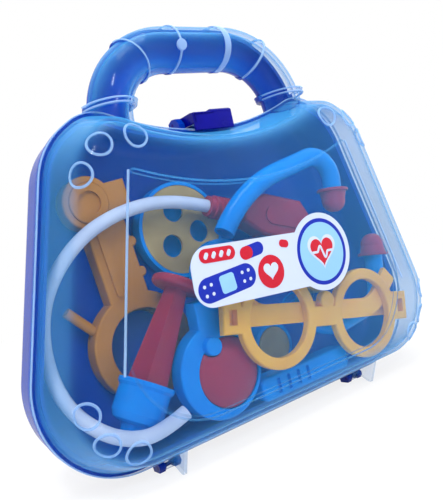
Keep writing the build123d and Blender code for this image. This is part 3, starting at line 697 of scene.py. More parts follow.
@dataclass(frozen=True)
class ClearStyrene:
    """Clear crystal polystyrene, moulded thin: a cool tint, a little milk in the wall and a mirror gloss.

    Seen flat on it nearly vanishes; along its edges the longer way through the wall turns it pale blue.
    """

    name: str
    tint: str
    milk: str
    milk_flat: float
    milk_edge: float
    roughness: float = 0.05
    mirror_flat: float = 0.005
    mirror_edge: float = 0.5
    wave_mm: float = 9.0  # slow waves of a drawn thin wall
    wave_depth_mm: float = 0.03

    def make(self) -> bpy.types.Material:
        """Builds the node material: transparent and milky diffuse by angle, under a gloss by angle.

        Returns:
            The material.
        """
        material, tree, surface = new_tree(self.name)
        where = add(tree, "ShaderNodeTexCoord").outputs["Object"]
        waves = rippled(tree, where, self.wave_mm, self.wave_depth_mm, strength=0.5, detail=2.0)
        facing = add(tree, "ShaderNodeLayerWeight", {"Blend": 0.5}).outputs["Facing"]
        # milk grows with (1 - cos)^2
        slope = add(tree, "ShaderNodeMath", {0: facing, 1: 2.0}, operation="POWER")
        milk = add(
            tree, "ShaderNodeMapRange",
            {"Value": slope.outputs["Value"], "To Min": self.milk_flat, "To Max": self.milk_edge},
        )
        clear = add(tree, "ShaderNodeBsdfTransparent", {"Color": linear(self.tint)})
        cloudy = add(tree, "ShaderNodeBsdfDiffuse", {"Color": linear(self.milk), "Roughness": 0.3})
        wall = add(
            tree, "ShaderNodeMixShader",
            {0: milk.outputs["Result"], 1: clear.outputs[0], 2: cloudy.outputs[0]},
        )
        # the mirror grows with (1 - cos)^5, as Schlick has it, between two strengths of its own
        grazing = add(tree, "ShaderNodeMath", {0: facing, 1: 5.0}, operation="POWER")
        mirror = add(
            tree, "ShaderNodeMapRange",
            {"Value": grazing.outputs["Value"], "To Min": self.mirror_flat, "To Max": self.mirror_edge},
        )
        gloss = add(
            tree, "ShaderNodeBsdfGlossy", {"Color": WHITE, "Roughness": self.roughness, "Normal": waves}
        )
        whole = add(
            tree, "ShaderNodeMixShader",
            {0: mirror.outputs["Result"], 1: wall.outputs[0], 2: gloss.outputs[0]},
        )
        tree.links.new(whole.outputs[0], surface)
        return material


@dataclass(frozen=True)
class PrintedFilm:
    """Printed polypropylene film: flat ink under a satin varnish, with the screen's fine dots in the ink."""

    name: str
    ink: str
    roughness: float = 0.42
    ior: float = 1.49  # polypropylene
    mirror: float = 0.08
    dot_mm: float = 0.6  # real screens run near 0.15 mm; drawn coarser so that it shows
    dot_span: tuple[float, float] = (0.1, 0.6)
    dot_share: float = 0.02
    wave_mm: float = 7.0
    wave_depth_mm: float = 0.04

    def make(self) -> bpy.types.Material:
        """Builds the node material.

        Returns:
            The material.
        """
        material, tree, surface = new_tree(self.name)
        where = add(tree, "ShaderNodeTexCoord").outputs["Object"]
        dots = add(
            tree, "ShaderNodeTexVoronoi", {"Vector": where, "Scale": 1000 / self.dot_mm, "Randomness": 0.15}
        ).outputs["Distance"]
        shader = add(
            tree, "ShaderNodeBsdfPrincipled",
            {
                "Base Color": blended(tree, dots, self.dot_span, (self.ink, "#FFFFFF"), self.dot_share),
                "Roughness": self.roughness,
                "IOR": self.ior,
                "Specular IOR Level": self.mirror,
                "Coat Weight": 0.04,
                "Coat Roughness": 0.12,
                "Normal": rippled(tree, where, self.wave_mm, self.wave_depth_mm, strength=0.4, detail=2.0),
            },
        )
        tree.links.new(shader.outputs["BSDF"], surface)
        return material


class Finish(Enum):
    """Every finish in the case, by the part that wears it."""

    BLUE_CASE = MouldedPlastic("case_blue_styrene", "#013CB2", "#0134A4", roughness=0.2)
    DEEP_BLUE = MouldedPlastic("deep_blue_styrene", "#04048C", "#04047A", roughness=0.26)
    CLEAR_COVER = ClearStyrene("clear_blue_styrene", "#FAFCFE", "#4CACEC", milk_flat=0.03, milk_edge=0.84)
    # pale, milky styrene for the moulded beads: the real beads are clear, and their milk is a painted
    # highlight where their edges catch the light
    CLEAR_BEAD = ClearStyrene(
        "clear_styrene_painted_highlight", "#E6F0FF", "#BFE0FF", milk_flat=0.4, milk_edge=0.85, roughness=0.12
    )
    CLEAR_LENS = ClearStyrene(
        "clear_lens_styrene", "#EDF5FF", "#9CC6FF", milk_flat=0.05, milk_edge=0.3, roughness=0.03
    )
    AZURE = MouldedPlastic("azure_styrene", "#008EEE", "#0080E2", roughness=0.13, mirror=0.16)
    RED = MouldedPlastic("red_styrene", "#AC2236", "#9C1E32", roughness=0.12, mirror=0.18)
    YELLOW = MouldedPlastic("yellow_styrene", "#FFC02A", "#FAB41E", roughness=0.14, mirror=0.16)
    AMBER = MouldedPlastic("amber_styrene", "#B87C28", "#AC721E", roughness=0.16, mirror=0.16)
    TAN = MouldedPlastic("tan_styrene", "#BCA468", "#A68E54", roughness=0.28)
    WHITE_TUBE = MouldedPlastic("white_soft_vinyl", "#CAD6EC", "#BCCAE4", roughness=0.36, ior=1.53, glow=0.15)
    WHITE_FILM = PrintedFilm("white_label_film", "#C4D0E8")
    BLUE_INK = PrintedFilm("deep_blue_ink", "#0424A4")
    RED_INK = PrintedFilm("red_ink", "#C00C2A")
    PALE_INK = PrintedFilm("pale_blue_ink", "#8CC0EC")

    def material(self) -> bpy.types.Material:
        """The finish's material, made on first use."""
        return bpy.data.materials.get(self.value.name) or self.value.make()


def fitted(
    piece: bpy.types.Object, finish: Finish, body: str, stands_for: Sequence[str] = ()
) -> None:
    """Finishes a piece: material, carrying body, a line in the log and the nodes that it stands for.

    Args:
        piece: the object in its place.
        finish: what it is made of.
        body: the moving body that carries it.
        stands_for: nodes of the frame that it replaces.
    """
    piece.data.materials.clear()
    piece.data.materials.append(finish.material())
    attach(piece, body)
    if stands_for:
        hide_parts(*stands_for)
    LOG.info("%s: %s, rides on %s", piece.name, finish.value.name, body)


# --- Nodes of the frame that keep their own shape --------------------------------------------------
@dataclass
class CarriedNodes:
    """Every solid that is shown as it is, by the finish that it wears."""

    wearers: dict[Finish, tuple[str, ...]] = field(
        default_factory=lambda: {
            Finish.BLUE_CASE: ("back_shell",),
            Finish.DEEP_BLUE: ("latch", "latch_pin", "hinge_pin_left", "hinge_pin_right"),
            Finish.CLEAR_COVER: ("front_cover",),
            Finish.CLEAR_LENS: ("viewer_lens",),
            Finish.WHITE_FILM: ("label",),
            Finish.AZURE: (
                "dish", "syringe_barrel", "gauge_housing", "gauge_grip", "headset_arm_upper",
                "headset_arm_lower", "loop_tool", "small_disc_holder",
            ),
            Finish.RED: (
                "syringe_plunger", "gauge_dome", "tube_connector", "stethoscope_body", "ear_tip_upper",
                "ear_tip_lower",
            ),
            Finish.YELLOW: ("glasses_front", "glasses_temple_left", "glasses_temple_right", "glasses_pins"),
            Finish.AMBER: ("viewer_body", "viewer_cap"),
            Finish.TAN: ("dish_plate", "rear_disc", "small_disc"),
        }
    )

    def build(self) -> None:
        """Dresses every carried node, its mesh untouched."""
        for finish, names in self.wearers.items():
            for name in names:
                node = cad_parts[name]
                if not node.material_slots:
                    node.data.materials.append(finish.material())
                for place in node.material_slots:
                    place.material = finish.material()
                LOG.info("%s: %s", name, finish.value.name)


# --- Stethoscope tube ------------------------------------------------------------------------------
@dataclass
class StethoscopeTube:
    """The soft white tube: a smooth line from the connector round the left of the case to its open end."""

    diameter: float = 6.0
    length: float = 193.6
    exit_point: tuple[float, float, float] = (-6.54, 7.45, 105.24)
    route: tuple[tuple[float, float, float], ...] = (
        (-6.54, 4.3, 105.24), (-25.6, 4.3, 111.43), (-49.0, 4.0, 110.4), (-67.6, 4.6, 104.4),
        (-81.0, 7.2, 94.0), (-90.4, 9.6, 80.4), (-94.4, 10.6, 65.6), (-94.6, 10.0, 50.0),
        (-92.0, 5.0, 36.5), (-86.0, -5.0, 27.0), (-78.0, -13.5, 22.0), (-66.7, -17.3, 20.8),
        (-54.3, -18.6, 25.4),
    )  # x, depth, z

    def build(self) -> None:
        """Makes the tube as a NURBS line with a round bevel."""
        line = bpy.data.curves.new("vinyl_tube", "CURVE")
        line.dimensions = "3D"
        line.resolution_u = 10
        line.bevel_depth = self.diameter / 2 * MM
        line.bevel_resolution = 8
        line.use_fill_caps = True
        spline = line.splines.new("NURBS")
        spline.points.add(len(self.route) - 1)
        # the fourth value of a point is its weight, which is 1
        places = [(x * MM, (PARTING_Y + depth) * MM, z * MM, 1.0) for x, depth, z in self.route]
        spline.points.foreach_set("co", np.array(places).ravel())
        spline.use_endpoint_u = True
        spline.order_u = 3
        tube = bpy.data.objects.new("vinyl_tube", line)
        bpy.context.scene.collection.objects.link(tube)
        fitted(tube, Finish.WHITE_TUBE, "case", ("stethoscope_tube",))


# --- Outline of the case ---------------------------------------------------------------------------
@dataclass
class CaseShape:
    """The bag-shaped outline that both shells share, and the clear cover's outer surface over it."""

    bottom: tuple[float, float] = (118.0, 5.5)
    shoulder: tuple[float, float] = (81.1, 139.2)
    peak: tuple[float, float] = (59.1, 153.3)
    dip_z: float = 139.3
    corner_radii: tuple[float, float, float] = (36.7, 33.0, 19.5)
    draft: float = 17.0
    seam: float = 0.2
    front: float = 26.8
    edge_radius: float = 11.0

    def outline(self, steps: int = 28) -> FlatLine:
        """The whole outline, counter-clockwise from the middle of the bottom.

        Each corner is an arc whose centre keeps its radius from both neighbours; the peak's arc touches
        the line below it and, from outside, the dip's circle.

        Args:
            steps: points on each arc.
        Returns:
            The closed line.
        """
        r_bottom, r_shoulder, r_peak = self.corner_radii
        low, mid, top = (np.array(p) for p in (self.bottom, self.shoulder, self.peak))
        slope = unit(top - mid)
        n_side, n_slope = right_of(unit(mid - low)), right_of(slope)
        r_dip = dip_radius(self.peak[0], self.peak[1] - self.dip_z)
        c_dip = np.array([0.0, self.dip_z + r_dip])
        foot = top - n_slope * r_peak - c_dip
        along = -float(foot @ slope)
        away = math.sqrt((r_dip + r_peak) ** 2 - float(foot @ foot) + along**2)
        c_peak = c_dip + foot + slope * (along - away)
        n_dip = (c_dip - c_peak) / (r_dip + r_peak)
        centres = [
            corner_centre(low, DOWN, n_side, r_bottom),
            corner_centre(mid, n_side, n_slope, r_shoulder),
            c_peak,
        ]
        turns = [math.atan2(n[1], n[0]) for n in (DOWN, n_side, n_slope, n_dip)]
        arcs = [arc(c, r, a, b, steps) for c, r, a, b in zip(centres, self.corner_radii, turns, turns[1:])]
        end_x, end_z = arcs[-1].points[-1]
        dip = dipped(c_dip[1], r_dip, math.atan2(end_x, c_dip[1] - end_z), steps)
        return chained([*arcs, FlatLine(dip.points[1:], dip.normals[1:])]).with_mirror_image()

    def height_over(self, points: np.ndarray) -> np.ndarray:
        """Distance of points from the clear cover's outer skin, positive outside.

        In the section across the rim a point has its inset from the outline and its depth; about the
        centre of the front edge's arc the skin is the drafted wall, the arc, or the flat front.

        Args:
            points: rows of X, depth forwards, Z.
        Returns:
            One distance for each point.
        """
        ring = self.outline().points
        ahead = np.roll(ring, -1, axis=0) - ring
        here = points[:, None, [0, 2]] - ring[None]
        share = np.einsum("ijk,jk->ij", here, ahead) / np.einsum("jk,jk->j", ahead, ahead)
        gap = here - np.clip(share, 0.0, 1.0)[..., None] * ahead[None]
        inset = np.hypot(gap[..., 0], gap[..., 1]).min(axis=1)
        lean, radius = math.radians(self.draft), self.edge_radius
        arc_depth = self.front - radius
        arc_inset = math.tan(lean) * (arc_depth - self.seam) + radius / math.cos(lean)
        out, fore = arc_inset - inset, points[:, 1] - arc_depth
        bend = np.arctan2(fore, out)
        skin = np.where(bend < lean, out * math.cos(lean) + fore * math.sin(lean), np.hypot(out, fore))
        return np.where(bend > math.pi / 2, fore, skin) - radius


# --- Cover trim ------------------------------------------------------------------------------------
@dataclass
class CoverTrim:
    """Raised lines moulded on the clear cover: stacking rings, the panel's step and flanks, the rim's edge.

    The stacking rings, the flanks and the rim's edge wear the pale bead finish, a painted highlight on real
    raised lines. Depths here count forwards.
    """

    shape: CaseShape = field(default_factory=CaseShape)
    ring_radius: float = 4.7
    ring_half_width: float = 0.5
    ring_height: float = 0.42
    ring_places: tuple[tuple[float, float, float, float, float], ...] = (
        (68.4, 25.4, 133.8, 44.0, 30.0), (53.0, 26.4, 135.5, 85.0, 20.0), (77.5, 22.6, 123.5, 15.0, 52.0),
        (96.5, 24.7, 39.5, -6.0, 36.0), (91.6, 24.9, 26.9, -33.0, 34.0), (81.0, 25.8, 19.9, -64.0, 24.0),
    )  # x, depth, z, the way out and the lean from the front, in degrees
    settling: tuple[int, float] = (14, 0.8)  # passes that lay a ring on the skin, and each one's share
    panel_top: tuple[float, float] = (60.0, 124.0)
    panel_bottom: tuple[float, float] = (88.3, 21.0)
    panel_dip: float = 112.0
    panel_dip_share: float = 0.965  # of the dip's half width, the rest is the top corner's
    panel_corners: tuple[float, float] = (34.0, 3.0)  # bottom and top
    step_depth: float = 27.3
    step_inset: float = 0.35
    step_bead: tuple[float, float] = (0.4, 0.28)  # half width and height, as for the next two
    flank_bead: tuple[float, float] = (0.5, 0.5)
    flank_span: tuple[float, float] = (0.27, 0.985)  # shares of the way from the panel's bottom to its top
    rim_bead: tuple[float, float] = (0.32, 0.4)
    rim_proud: float = 0.9
    rim_depth: float = 2.1

    def skin_rise(self, line: np.ndarray, nudge: float = 0.05) -> np.ndarray:
        """The way out of the skin at points: the slope of the height over it, read a nudge to each side.

        Args:
            line: rows of X, depth, Z.
            nudge: half the distance between two readings.
        Returns:
            A unit direction for each point.
        """
        over = self.shape.height_over
        slope = [over(line + step) - over(line - step) for step in nudge * np.eye(3)]
        return unit(np.stack(slope, axis=1))

    def ring(self, place: tuple[float, float, float, float, float], side: int) -> Form:
        """A round bead laid on the skin.

        A flat circle stands square to the skin's lean; each of its points then slides along that axis
        by its distance from the skin, a few times over.

        Args:
            place: one of the ring places.
            side: 1 on the right, -1 on the left.
        Returns:
            The closed form.
        """
        x, depth, z, turn, lean = place
        out, tilt = math.radians(turn), math.radians(lean)
        aside = math.sin(tilt)
        axis = np.array([side * math.cos(out) * aside, math.cos(tilt), math.sin(out) * aside])
        across = unit(np.cross(axis, [0.0, 1.0, 0.0]))
        angle = round_loop(64)[:, None]
        radial = np.cos(angle) * across + np.sin(angle) * np.cross(axis, across)
        line = np.array([side * x, depth, z]) + radial * self.ring_radius
        passes, share = self.settling
        for _ in range(passes):
            line = line - axis * self.shape.height_over(line)[:, None] * share
        rise = self.skin_rise(line)
        sideways = unit(np.cross(np.roll(line, -1, axis=0) - np.roll(line, 1, axis=0), rise))
        form = bead(line, sideways, rise, self.ring_half_width, self.ring_height, closed=True)
        flipped = form.points * np.array([1.0, -1.0, 1.0])
        return Form(flipped, form.faces).shifted(dy=PARTING_Y)

    def panel_outline(self, steps: int = 24) -> FlatLine:
        """The raised panel's outline: straight sides and bottom, round corners, and a shallow dip on top.

        Args:
            steps: points on each bottom corner, and half as many as on the dip.
        Returns:
            The closed line.
        """
        top, low = np.array(self.panel_top), np.array(self.panel_bottom)
        low_radius, top_radius = self.panel_corners
        way = unit(top - low)
        n_side = right_of(way)
        centre = corner_centre(low, DOWN, n_side, low_radius)
        corner = arc(centre, low_radius, -math.pi / 2, math.atan2(n_side[1], n_side[0]), steps)
        start, end = corner.points[-1], top - way * top_radius
        straight = start + (end - start) * np.linspace(0.0, 1.0, 30)[1:, None]
        radius = dip_radius(top[0], top[1] - self.panel_dip)
        reach = math.asin(top[0] / radius) * self.panel_dip_share
        dip = dipped(self.panel_dip + radius, radius, reach, steps * 2)
        return chained(
            [corner, FlatLine(straight, np.tile(n_side, (len(straight), 1))), dip]
        ).with_mirror_image()

    def bead_along(self, outline: FlatLine, inset: float, depth: float, size: tuple[float, float]) -> Form:
        """A bead along an outline that is moved inwards and lies at one depth.

        Args:
            outline: the closed line.
            inset: how far the bead's middle lies inside it.
            depth: forwards of the parting plane.
            size: half width and height.
        Returns:
            The closed form.
        """
        flat, level = outline.inset(inset), np.zeros(len(outline.points))
        line = np.column_stack([flat[:, 0], level + PARTING_Y - depth, flat[:, 1]])
        side = np.column_stack([outline.normals[:, 0], level, outline.normals[:, 1]])
        return bead(line, side, TO_VIEWER, *size, closed=True)

    def flank(self, side: int) -> Form:
        """The sharp pale line where a straight flank of the panel catches the light.

        Args:
            side: 1 on the right, -1 on the left.
        Returns:
            The closed form.
        """
        top, low = np.array(self.panel_top), np.array(self.panel_bottom)
        way = unit(top - low)
        run = np.linspace(*self.flank_span, 24)[:, None]
        flat = low * (1 - run) + top * run - right_of(way) * self.step_inset
        line = np.insert(flat * [side, 1.0], 1, PARTING_Y - self.step_depth, axis=1)
        # the bead is made pale: a painted highlight where the flank catches the light
        return bead(line, np.array([side * way[1], 0.0, -way[0]]), TO_VIEWER, *self.flank_bead)

    def build(self) -> None:
        """Makes the twelve stacking rings, the panel's step, and the bright lines of flanks and rim."""
        rings = [self.ring(place, side) for place in self.ring_places for side in (-1, 1)]
        step = self.bead_along(self.panel_outline(), self.step_inset, self.step_depth, self.step_bead)
        rim = self.bead_along(self.shape.outline(), -self.rim_proud, self.rim_depth, self.rim_bead)
        # rings, flanks and rim are pale with a painted highlight; the step keeps the cover's own clear finish
        for name, forms, finish in (
            ("stacking_rings", rings, Finish.CLEAR_BEAD),
            ("panel_step", [step], Finish.CLEAR_COVER),
            ("panel_flanks_and_rim", [self.flank(-1), self.flank(1), rim], Finish.CLEAR_BEAD),
        ):
            fitted(mesh_of(name, join(forms), sharp=60.0), finish, "cover")


# --- Handle trim -----------------------------------------------------------------------------------
@dataclass
class HandleTrim:
    """Finger bands, their round gate boss and the foot collars on the clear half of the handle."""

    half_span: float = 48.9
    top_z: float = 177.5
    bend: float = 32.7
    half_width: float = 10.5
    front_half: float = 13.4
    seam: float = 0.2
    bead_height: float = 0.35
    bands: tuple[tuple[float, float, float], ...] = (
        (-13.0, 0.0, 0.55), (13.0, 0.0, 1.75), (16.2, 32.0, 0.6), (-16.2, -32.0, 0.35),
    )  # x of the band or of the bend's centre, lean from upright, half width
    band_swell: float = -0.05
    boss_angle: float = 100.0
    boss_radius: float = 2.5
    boss_edge: float = 0.4
    boss_heights: tuple[float, float] = (-0.5, 0.75)
    collar_z: tuple[float, float] = (152.1, 154.0)
    collar_half_width: float = 0.4
    collar_swell: float = 0.75

    def hoop_line(self, middle: np.ndarray, way: np.ndarray, swell: float) -> tuple[np.ndarray, np.ndarray]:
        """The half ellipse round the front of the handle: middle + way * a cos t, forwards b sin t.

        Args:
            middle: the handle's middle line there, as X and Z.
            way: unit direction away from the grip's inside.
            swell: how far outside the handle the line runs.
        Returns:
            The line's points and the outward direction at each.
        """
        clear_of_seam = 0.04
        a, b = self.half_width + swell, self.front_half + swell
        t = np.linspace(clear_of_seam, math.pi - clear_of_seam, 40)
        u, v = a * np.cos(t), b * np.sin(t)
        line = np.column_stack([middle[0] + way[0] * u, PARTING_Y - self.seam - v, middle[1] + way[1] * u])
        nu, nv = np.cos(t) / a, np.sin(t) / b
        return line, unit(np.column_stack([way[0] * nu, -nv, way[1] * nu]))

    def bead_over(self, middle: np.ndarray, way: np.ndarray, half_width: float, swell: float) -> Form:
        """One bead square across the handle.

        Args:
            middle, way, swell: as for the hoop line.
            half_width: half the bead's width.
        Returns:
            The closed form.
        """
        line, rise = self.hoop_line(middle, way, swell)
        return bead(line, np.array([way[1], 0.0, -way[0]]), rise, half_width, self.bead_height)

    def band_seat(self, x: float, lean: float) -> tuple[np.ndarray, np.ndarray]:
        """Where a band sits: on the straight top, or on the bend at its lean.

        Args:
            x: the band's X, or that of the bend's centre.
            lean: degrees from upright.
        Returns:
            The handle's middle there, and the way out.
        """
        angle = math.radians(lean)
        way = np.array([math.sin(angle), math.cos(angle)])
        if lean == 0.0:
            return np.array([x, self.top_z]), way
        return np.array([x, self.top_z - self.bend]) + way * self.bend, way

    def boss(self) -> Form:
        """The round boss where the left inner band was gated.

        Returns:
            The closed form.
        """
        line, rise = self.hoop_line(*self.band_seat(*self.bands[0][:2]), 0.0)
        spot = int(len(line) * self.boss_angle / 180)
        foot, head = (line[spot] + rise[spot] * height for height in self.boss_heights)
        return rod(foot, head, self.boss_radius, self.boss_edge)

    def build(self) -> None:
        """Makes the bands, the boss and the collars' edges."""
        bands = [
            self.bead_over(*self.band_seat(x, lean), half, self.band_swell) for x, lean, half in self.bands
        ]
        collars = [
            self.bead_over(
                np.array([side * self.half_span, z]), np.array([side, 0.0]), self.collar_half_width,
                self.collar_swell,
            )
            for side in (-1.0, 1.0)
            for z in self.collar_z
        ]
        # bands, boss and collar edges wear the pale bead finish: a painted highlight on the real raised lines
        for name, forms in (("handle_bands", [*bands, self.boss()]), ("collar_edges", collars)):
            fitted(mesh_of(name, join(forms), sharp=50.0), Finish.CLEAR_BEAD, "cover")


# --- Label artwork ---------------------------------------------------------------------------------
@dataclass
class LabelArt:
    """Printed inks on the white film: a plaster, a heart spot, a pill, a blister strip and a round badge.

    Places are on the label: x along it, y across it, and a turn in degrees where there is a third number.
    """

    place: Place = Place(-1.0, 73.0, -4.0, -28.3)
    ink: float = 0.07
    ink_edge: float = 0.02
    plaster: tuple[float, float, float] = (-26.4, -3.8, 9.0)
    plaster_size: tuple[float, float] = (30.0, 10.4)
    plaster_pad: tuple[float, float, float] = (7.6, 7.6, 1.4)
    vent_radius: float = 0.75
    vent_along: tuple[float, float] = (8.2, 11.6)
    vent_across: float = 1.9
    spot: tuple[float, float] = (-2.9, -2.6)
    spot_radius: float = 7.2
    spot_heart: float = 8.2
    pill: tuple[float, float, float] = (-11.6, 7.6, 10.0)
    pill_size: tuple[float, float] = (13.0, 5.6)
    pill_end: tuple[float, float, float] = (-14.65, 7.06, 10.0)
    pill_end_size: tuple[float, float] = (6.8, 5.6)
    tablet: tuple[float, float, float] = (6.6, 8.4, -12.0)
    tablet_size: tuple[float, float] = (5.4, 3.4)
    strip: tuple[float, float] = (-29.4, 8.4)
    strip_size: tuple[float, float] = (18.0, 5.8)
    dose_size: tuple[float, float] = (3.0, 1.8)
    dose_pitch: float = 3.8
    dose_turn: float = 60.0
    badge: tuple[float, float] = (29.0, 2.0)
    badge_radius: float = 15.4
    badge_rim: float = 1.8
    badge_hearts: tuple[float, float] = (17.4, 14.2)
    heart_drop: float = 0.4
    beat: tuple[tuple[float, float], ...] = (
        (-6.6, 0.0), (-3.0, 0.0), (-1.2, 3.4), (1.4, -3.8), (3.0, 0.0), (6.6, 0.0),
    )  # from the badge's middle
    beat_width: float = 1.1
    beat_bend: float = 0.6

    def printed(self, outline: FlatLine, x: float = 0.0, y: float = 0.0, turn: float = 0.0) -> Form:
        """A flat shape one ink thick.

        Args:
            outline: the shape's closed line.
            x, y, turn: its place on the label.
        Returns:
            The closed form.
        """
        return slab(outline, 0.0, self.ink, self.ink_edge).turned(turn).shifted(x, y)

    def vents(self) -> list[Form]:
        """The plaster's vent holes: two by two at each end, turned with it.

        Returns:
            One form for each hole.
        """
        x, y, turn = self.plaster
        c, s = math.cos(math.radians(turn)), math.sin(math.radians(turn))
        spots = [
            (end * u, side * self.vent_across) for end in (-1, 1) for u in self.vent_along for side in (-1, 1)
        ]
        dot = circle(self.vent_radius, 16)
        return [self.printed(dot, x + u * c - v * s, y + u * s + v * c) for u, v in spots]

    def doses(self) -> list[Form]:
        """The four slanting tablets of the blister strip.

        Returns:
            One form for each tablet.
        """
        x, y = self.strip
        steps = [(k - 1.5) * self.dose_pitch for k in range(4)]
        return [self.printed(capsule(*self.dose_size), x + step, y, self.dose_turn) for step in steps]

    def heartbeat(self) -> Form:
        """The beat line across the badge's heart."""
        path = bent_path(self.beat, self.beat_bend, step=0.25)
        return ribbon(path, self.beat_width, self.ink).shifted(*self.badge)

    def build(self) -> None:
        """Prints the inks from the film outwards, each as one thin piece at its own level."""
        blue = [
            self.printed(capsule(*self.plaster_size), *self.plaster),
            self.printed(capsule(*self.pill_size), *self.pill),
            self.printed(circle(self.badge_radius), *self.badge),
        ]
        red = [
            self.printed(circle(self.spot_radius), *self.spot),
            self.printed(capsule(*self.strip_size), *self.strip),
            self.printed(capsule(*self.pill_end_size), *self.pill_end),
            self.printed(capsule(*self.tablet_size), *self.tablet),
        ]
        pale = [
            self.printed(circle(self.badge_radius - self.badge_rim), *self.badge),
            self.printed(rounded_rectangle(*self.plaster_pad), *self.plaster),
        ]
        heart_at = (self.badge[0], self.badge[1] - self.heart_drop)
        back_heart, front_heart = (self.printed(heart(width), *heart_at) for width in self.badge_hearts)
        spot_heart = self.printed(heart(self.spot_heart), *self.spot)
        for name, forms, level, finish in (
            ("label_blue_ink", blue, 0, Finish.BLUE_INK),
            ("label_red_ink", red, 1, Finish.RED_INK),
            ("label_pale_ink", pale, 1, Finish.PALE_INK),
            ("label_white_ink", [spot_heart, back_heart, *self.doses(), *self.vents()], 2, Finish.WHITE_FILM),
            ("label_heart_ink", [front_heart], 3, Finish.RED_INK),
            ("label_beat_ink", [self.heartbeat()], 4, Finish.WHITE_FILM),
        ):
            stack = join(forms).shifted(dz=level * self.ink).at(self.place)
            fitted(mesh_of(name, stack, sharp=30.0), finish, "cover")


# --- Latch -----------------------------------------------------------------------------------------
@dataclass
class LatchTrim:
    """The stepped thumb grip over the latch: a high block on the right, a lower rounded one on the left."""

    high_x: tuple[float, float] = (-0.6, 10.9)
    low_x: tuple[float, float] = (-10.9, 1.0)
    cheek_x: tuple[float, float] = (-10.95, -9.5)
    top_z: float = 147.1
    sunk: float = 1.3  # how far the blocks reach down into the plate, which is 2 thick
    near: float = -7.3
    far: float = 5.4
    high_rises: tuple[float, float, float] = (0.3, 1.2, 0.6)  # over the plate: near edge, crest, far edge
    high_crest: float = 1.5  # behind the near edge
    low_rises: tuple[float, float, float] = (-0.9, 0.3, 0.1)
    low_crest: float = 2.5
    low_far: tuple[float, float] = (0.6, 0.8)  # how far it ends before the high block, at foot and top
    apron_foot: float = 138.8
    apron_depth: float = 1.6
    cheek_foot: float = 142.2
    block_corner: float = 0.7  # corner radius seen from the side, as for the next two
    apron_corner: float = 0.4
    cheek_corner: float = 0.3

    def build(self) -> None:
        """Makes the blocks, the apron before the hook and the cheek that closes the left side."""
        top, near, far = self.top_z, self.near, self.far
        root, skirt = top - self.sunk, near + self.apron_depth
        edge, crest, back = (top + rise for rise in self.high_rises)
        high = [(near, root), (far, root), (far, back), (near + self.high_crest, crest), (near, edge)]
        edge, crest, back = (top + rise for rise in self.low_rises)
        foot_end, top_end = (far - step for step in self.low_far)
        low = [(near, root), (foot_end, root), (top_end, back), (near + self.low_crest, crest), (near, edge)]
        apron = [(near, self.apron_foot), (skirt, self.apron_foot), (skirt, top), (near, top)]
        cheek = [(near, self.cheek_foot), (far, self.cheek_foot), (far, top), (near, top)]
        forms = [
            side_slab(high, self.high_x, self.block_corner),
            side_slab(low, self.low_x, self.block_corner),
            side_slab(apron, (self.low_x[0], self.high_x[1]), self.apron_corner),
            side_slab(cheek, self.cheek_x, self.cheek_corner),
        ]
        grip = mesh_of("latch_grip", join(forms), sharp=40.0)
        fitted(grip, Finish.DEEP_BLUE, "latch")


# --- Camera, light and floor -----------------------------------------------------------------------
@dataclass
class CatalogueCamera:
    """The camera: close, low, to the left of the case, and rolled."""

    position: tuple[float, float, float] = (-168.52, -224.38, 91.82)
    azimuth: float = 35.2
    elevation: float = 1.7
    roll: float = -12.8
    lens: float = 43.25
    sensor: float = 36.0
    shift: tuple[float, float] = (0.003, 0.0014)
    clip: tuple[float, float] = (0.01, 50.0)  # metres

    def axes(self) -> Matrix:
        """The camera's right, up and back directions as matrix columns, turned by the roll about back.

        Returns:
            A 3 by 3 turn.
        """
        az, el, roll = (math.radians(v) for v in (self.azimuth, self.elevation, self.roll))
        back = Vector((-math.sin(az) * math.cos(el), -math.cos(az) * math.cos(el), math.sin(el)))
        right = (-back).cross(Vector((0.0, 0.0, 1.0))).normalized()
        up = right.cross(-back)
        rolled = right * math.cos(roll) + up * math.sin(roll)
        upright = up * math.cos(roll) - right * math.sin(roll)
        return Matrix((rolled, upright, back)).transposed()

    def build(self) -> None:
        """Makes the scene's camera."""
        data = bpy.data.cameras.new("catalogue_camera")
        data.lens = self.lens
        data.sensor_width = self.sensor
        data.sensor_fit = "AUTO"
        data.shift_x, data.shift_y = self.shift
        data.clip_start, data.clip_end = self.clip
        camera = bpy.data.objects.new("catalogue_camera", data)
        camera.matrix_world = Matrix.Translation(Vector(self.position) * MM) @ self.axes().to_4x4()
        bpy.context.scene.collection.objects.link(camera)
        bpy.context.scene.camera = camera


@dataclass(frozen=True)
class Lamp:
    """A square area lamp: place and size in metres, power in watts, and whether glossy skins mirror it."""

    name: str
    place: tuple[float, float, float]
    size: float
    power: float
    mirrored: bool

    def build(self, aim: Vector) -> None:
        """Makes the lamp and turns it to a point.

        Args:
            aim: the point, in metres.
        """
        data = bpy.data.lights.new(self.name, "AREA")
        data.shape = "SQUARE"
        data.size = self.size
        data.energy = self.power
        lamp = bpy.data.objects.new(self.name, data)
        lamp.location = self.place
        lamp.visible_glossy = self.mirrored
        lamp.rotation_mode = "QUATERNION"
        lamp.rotation_quaternion = (aim - lamp.location).to_track_quat("-Z", "Y")
        bpy.context.scene.collection.objects.link(lamp)


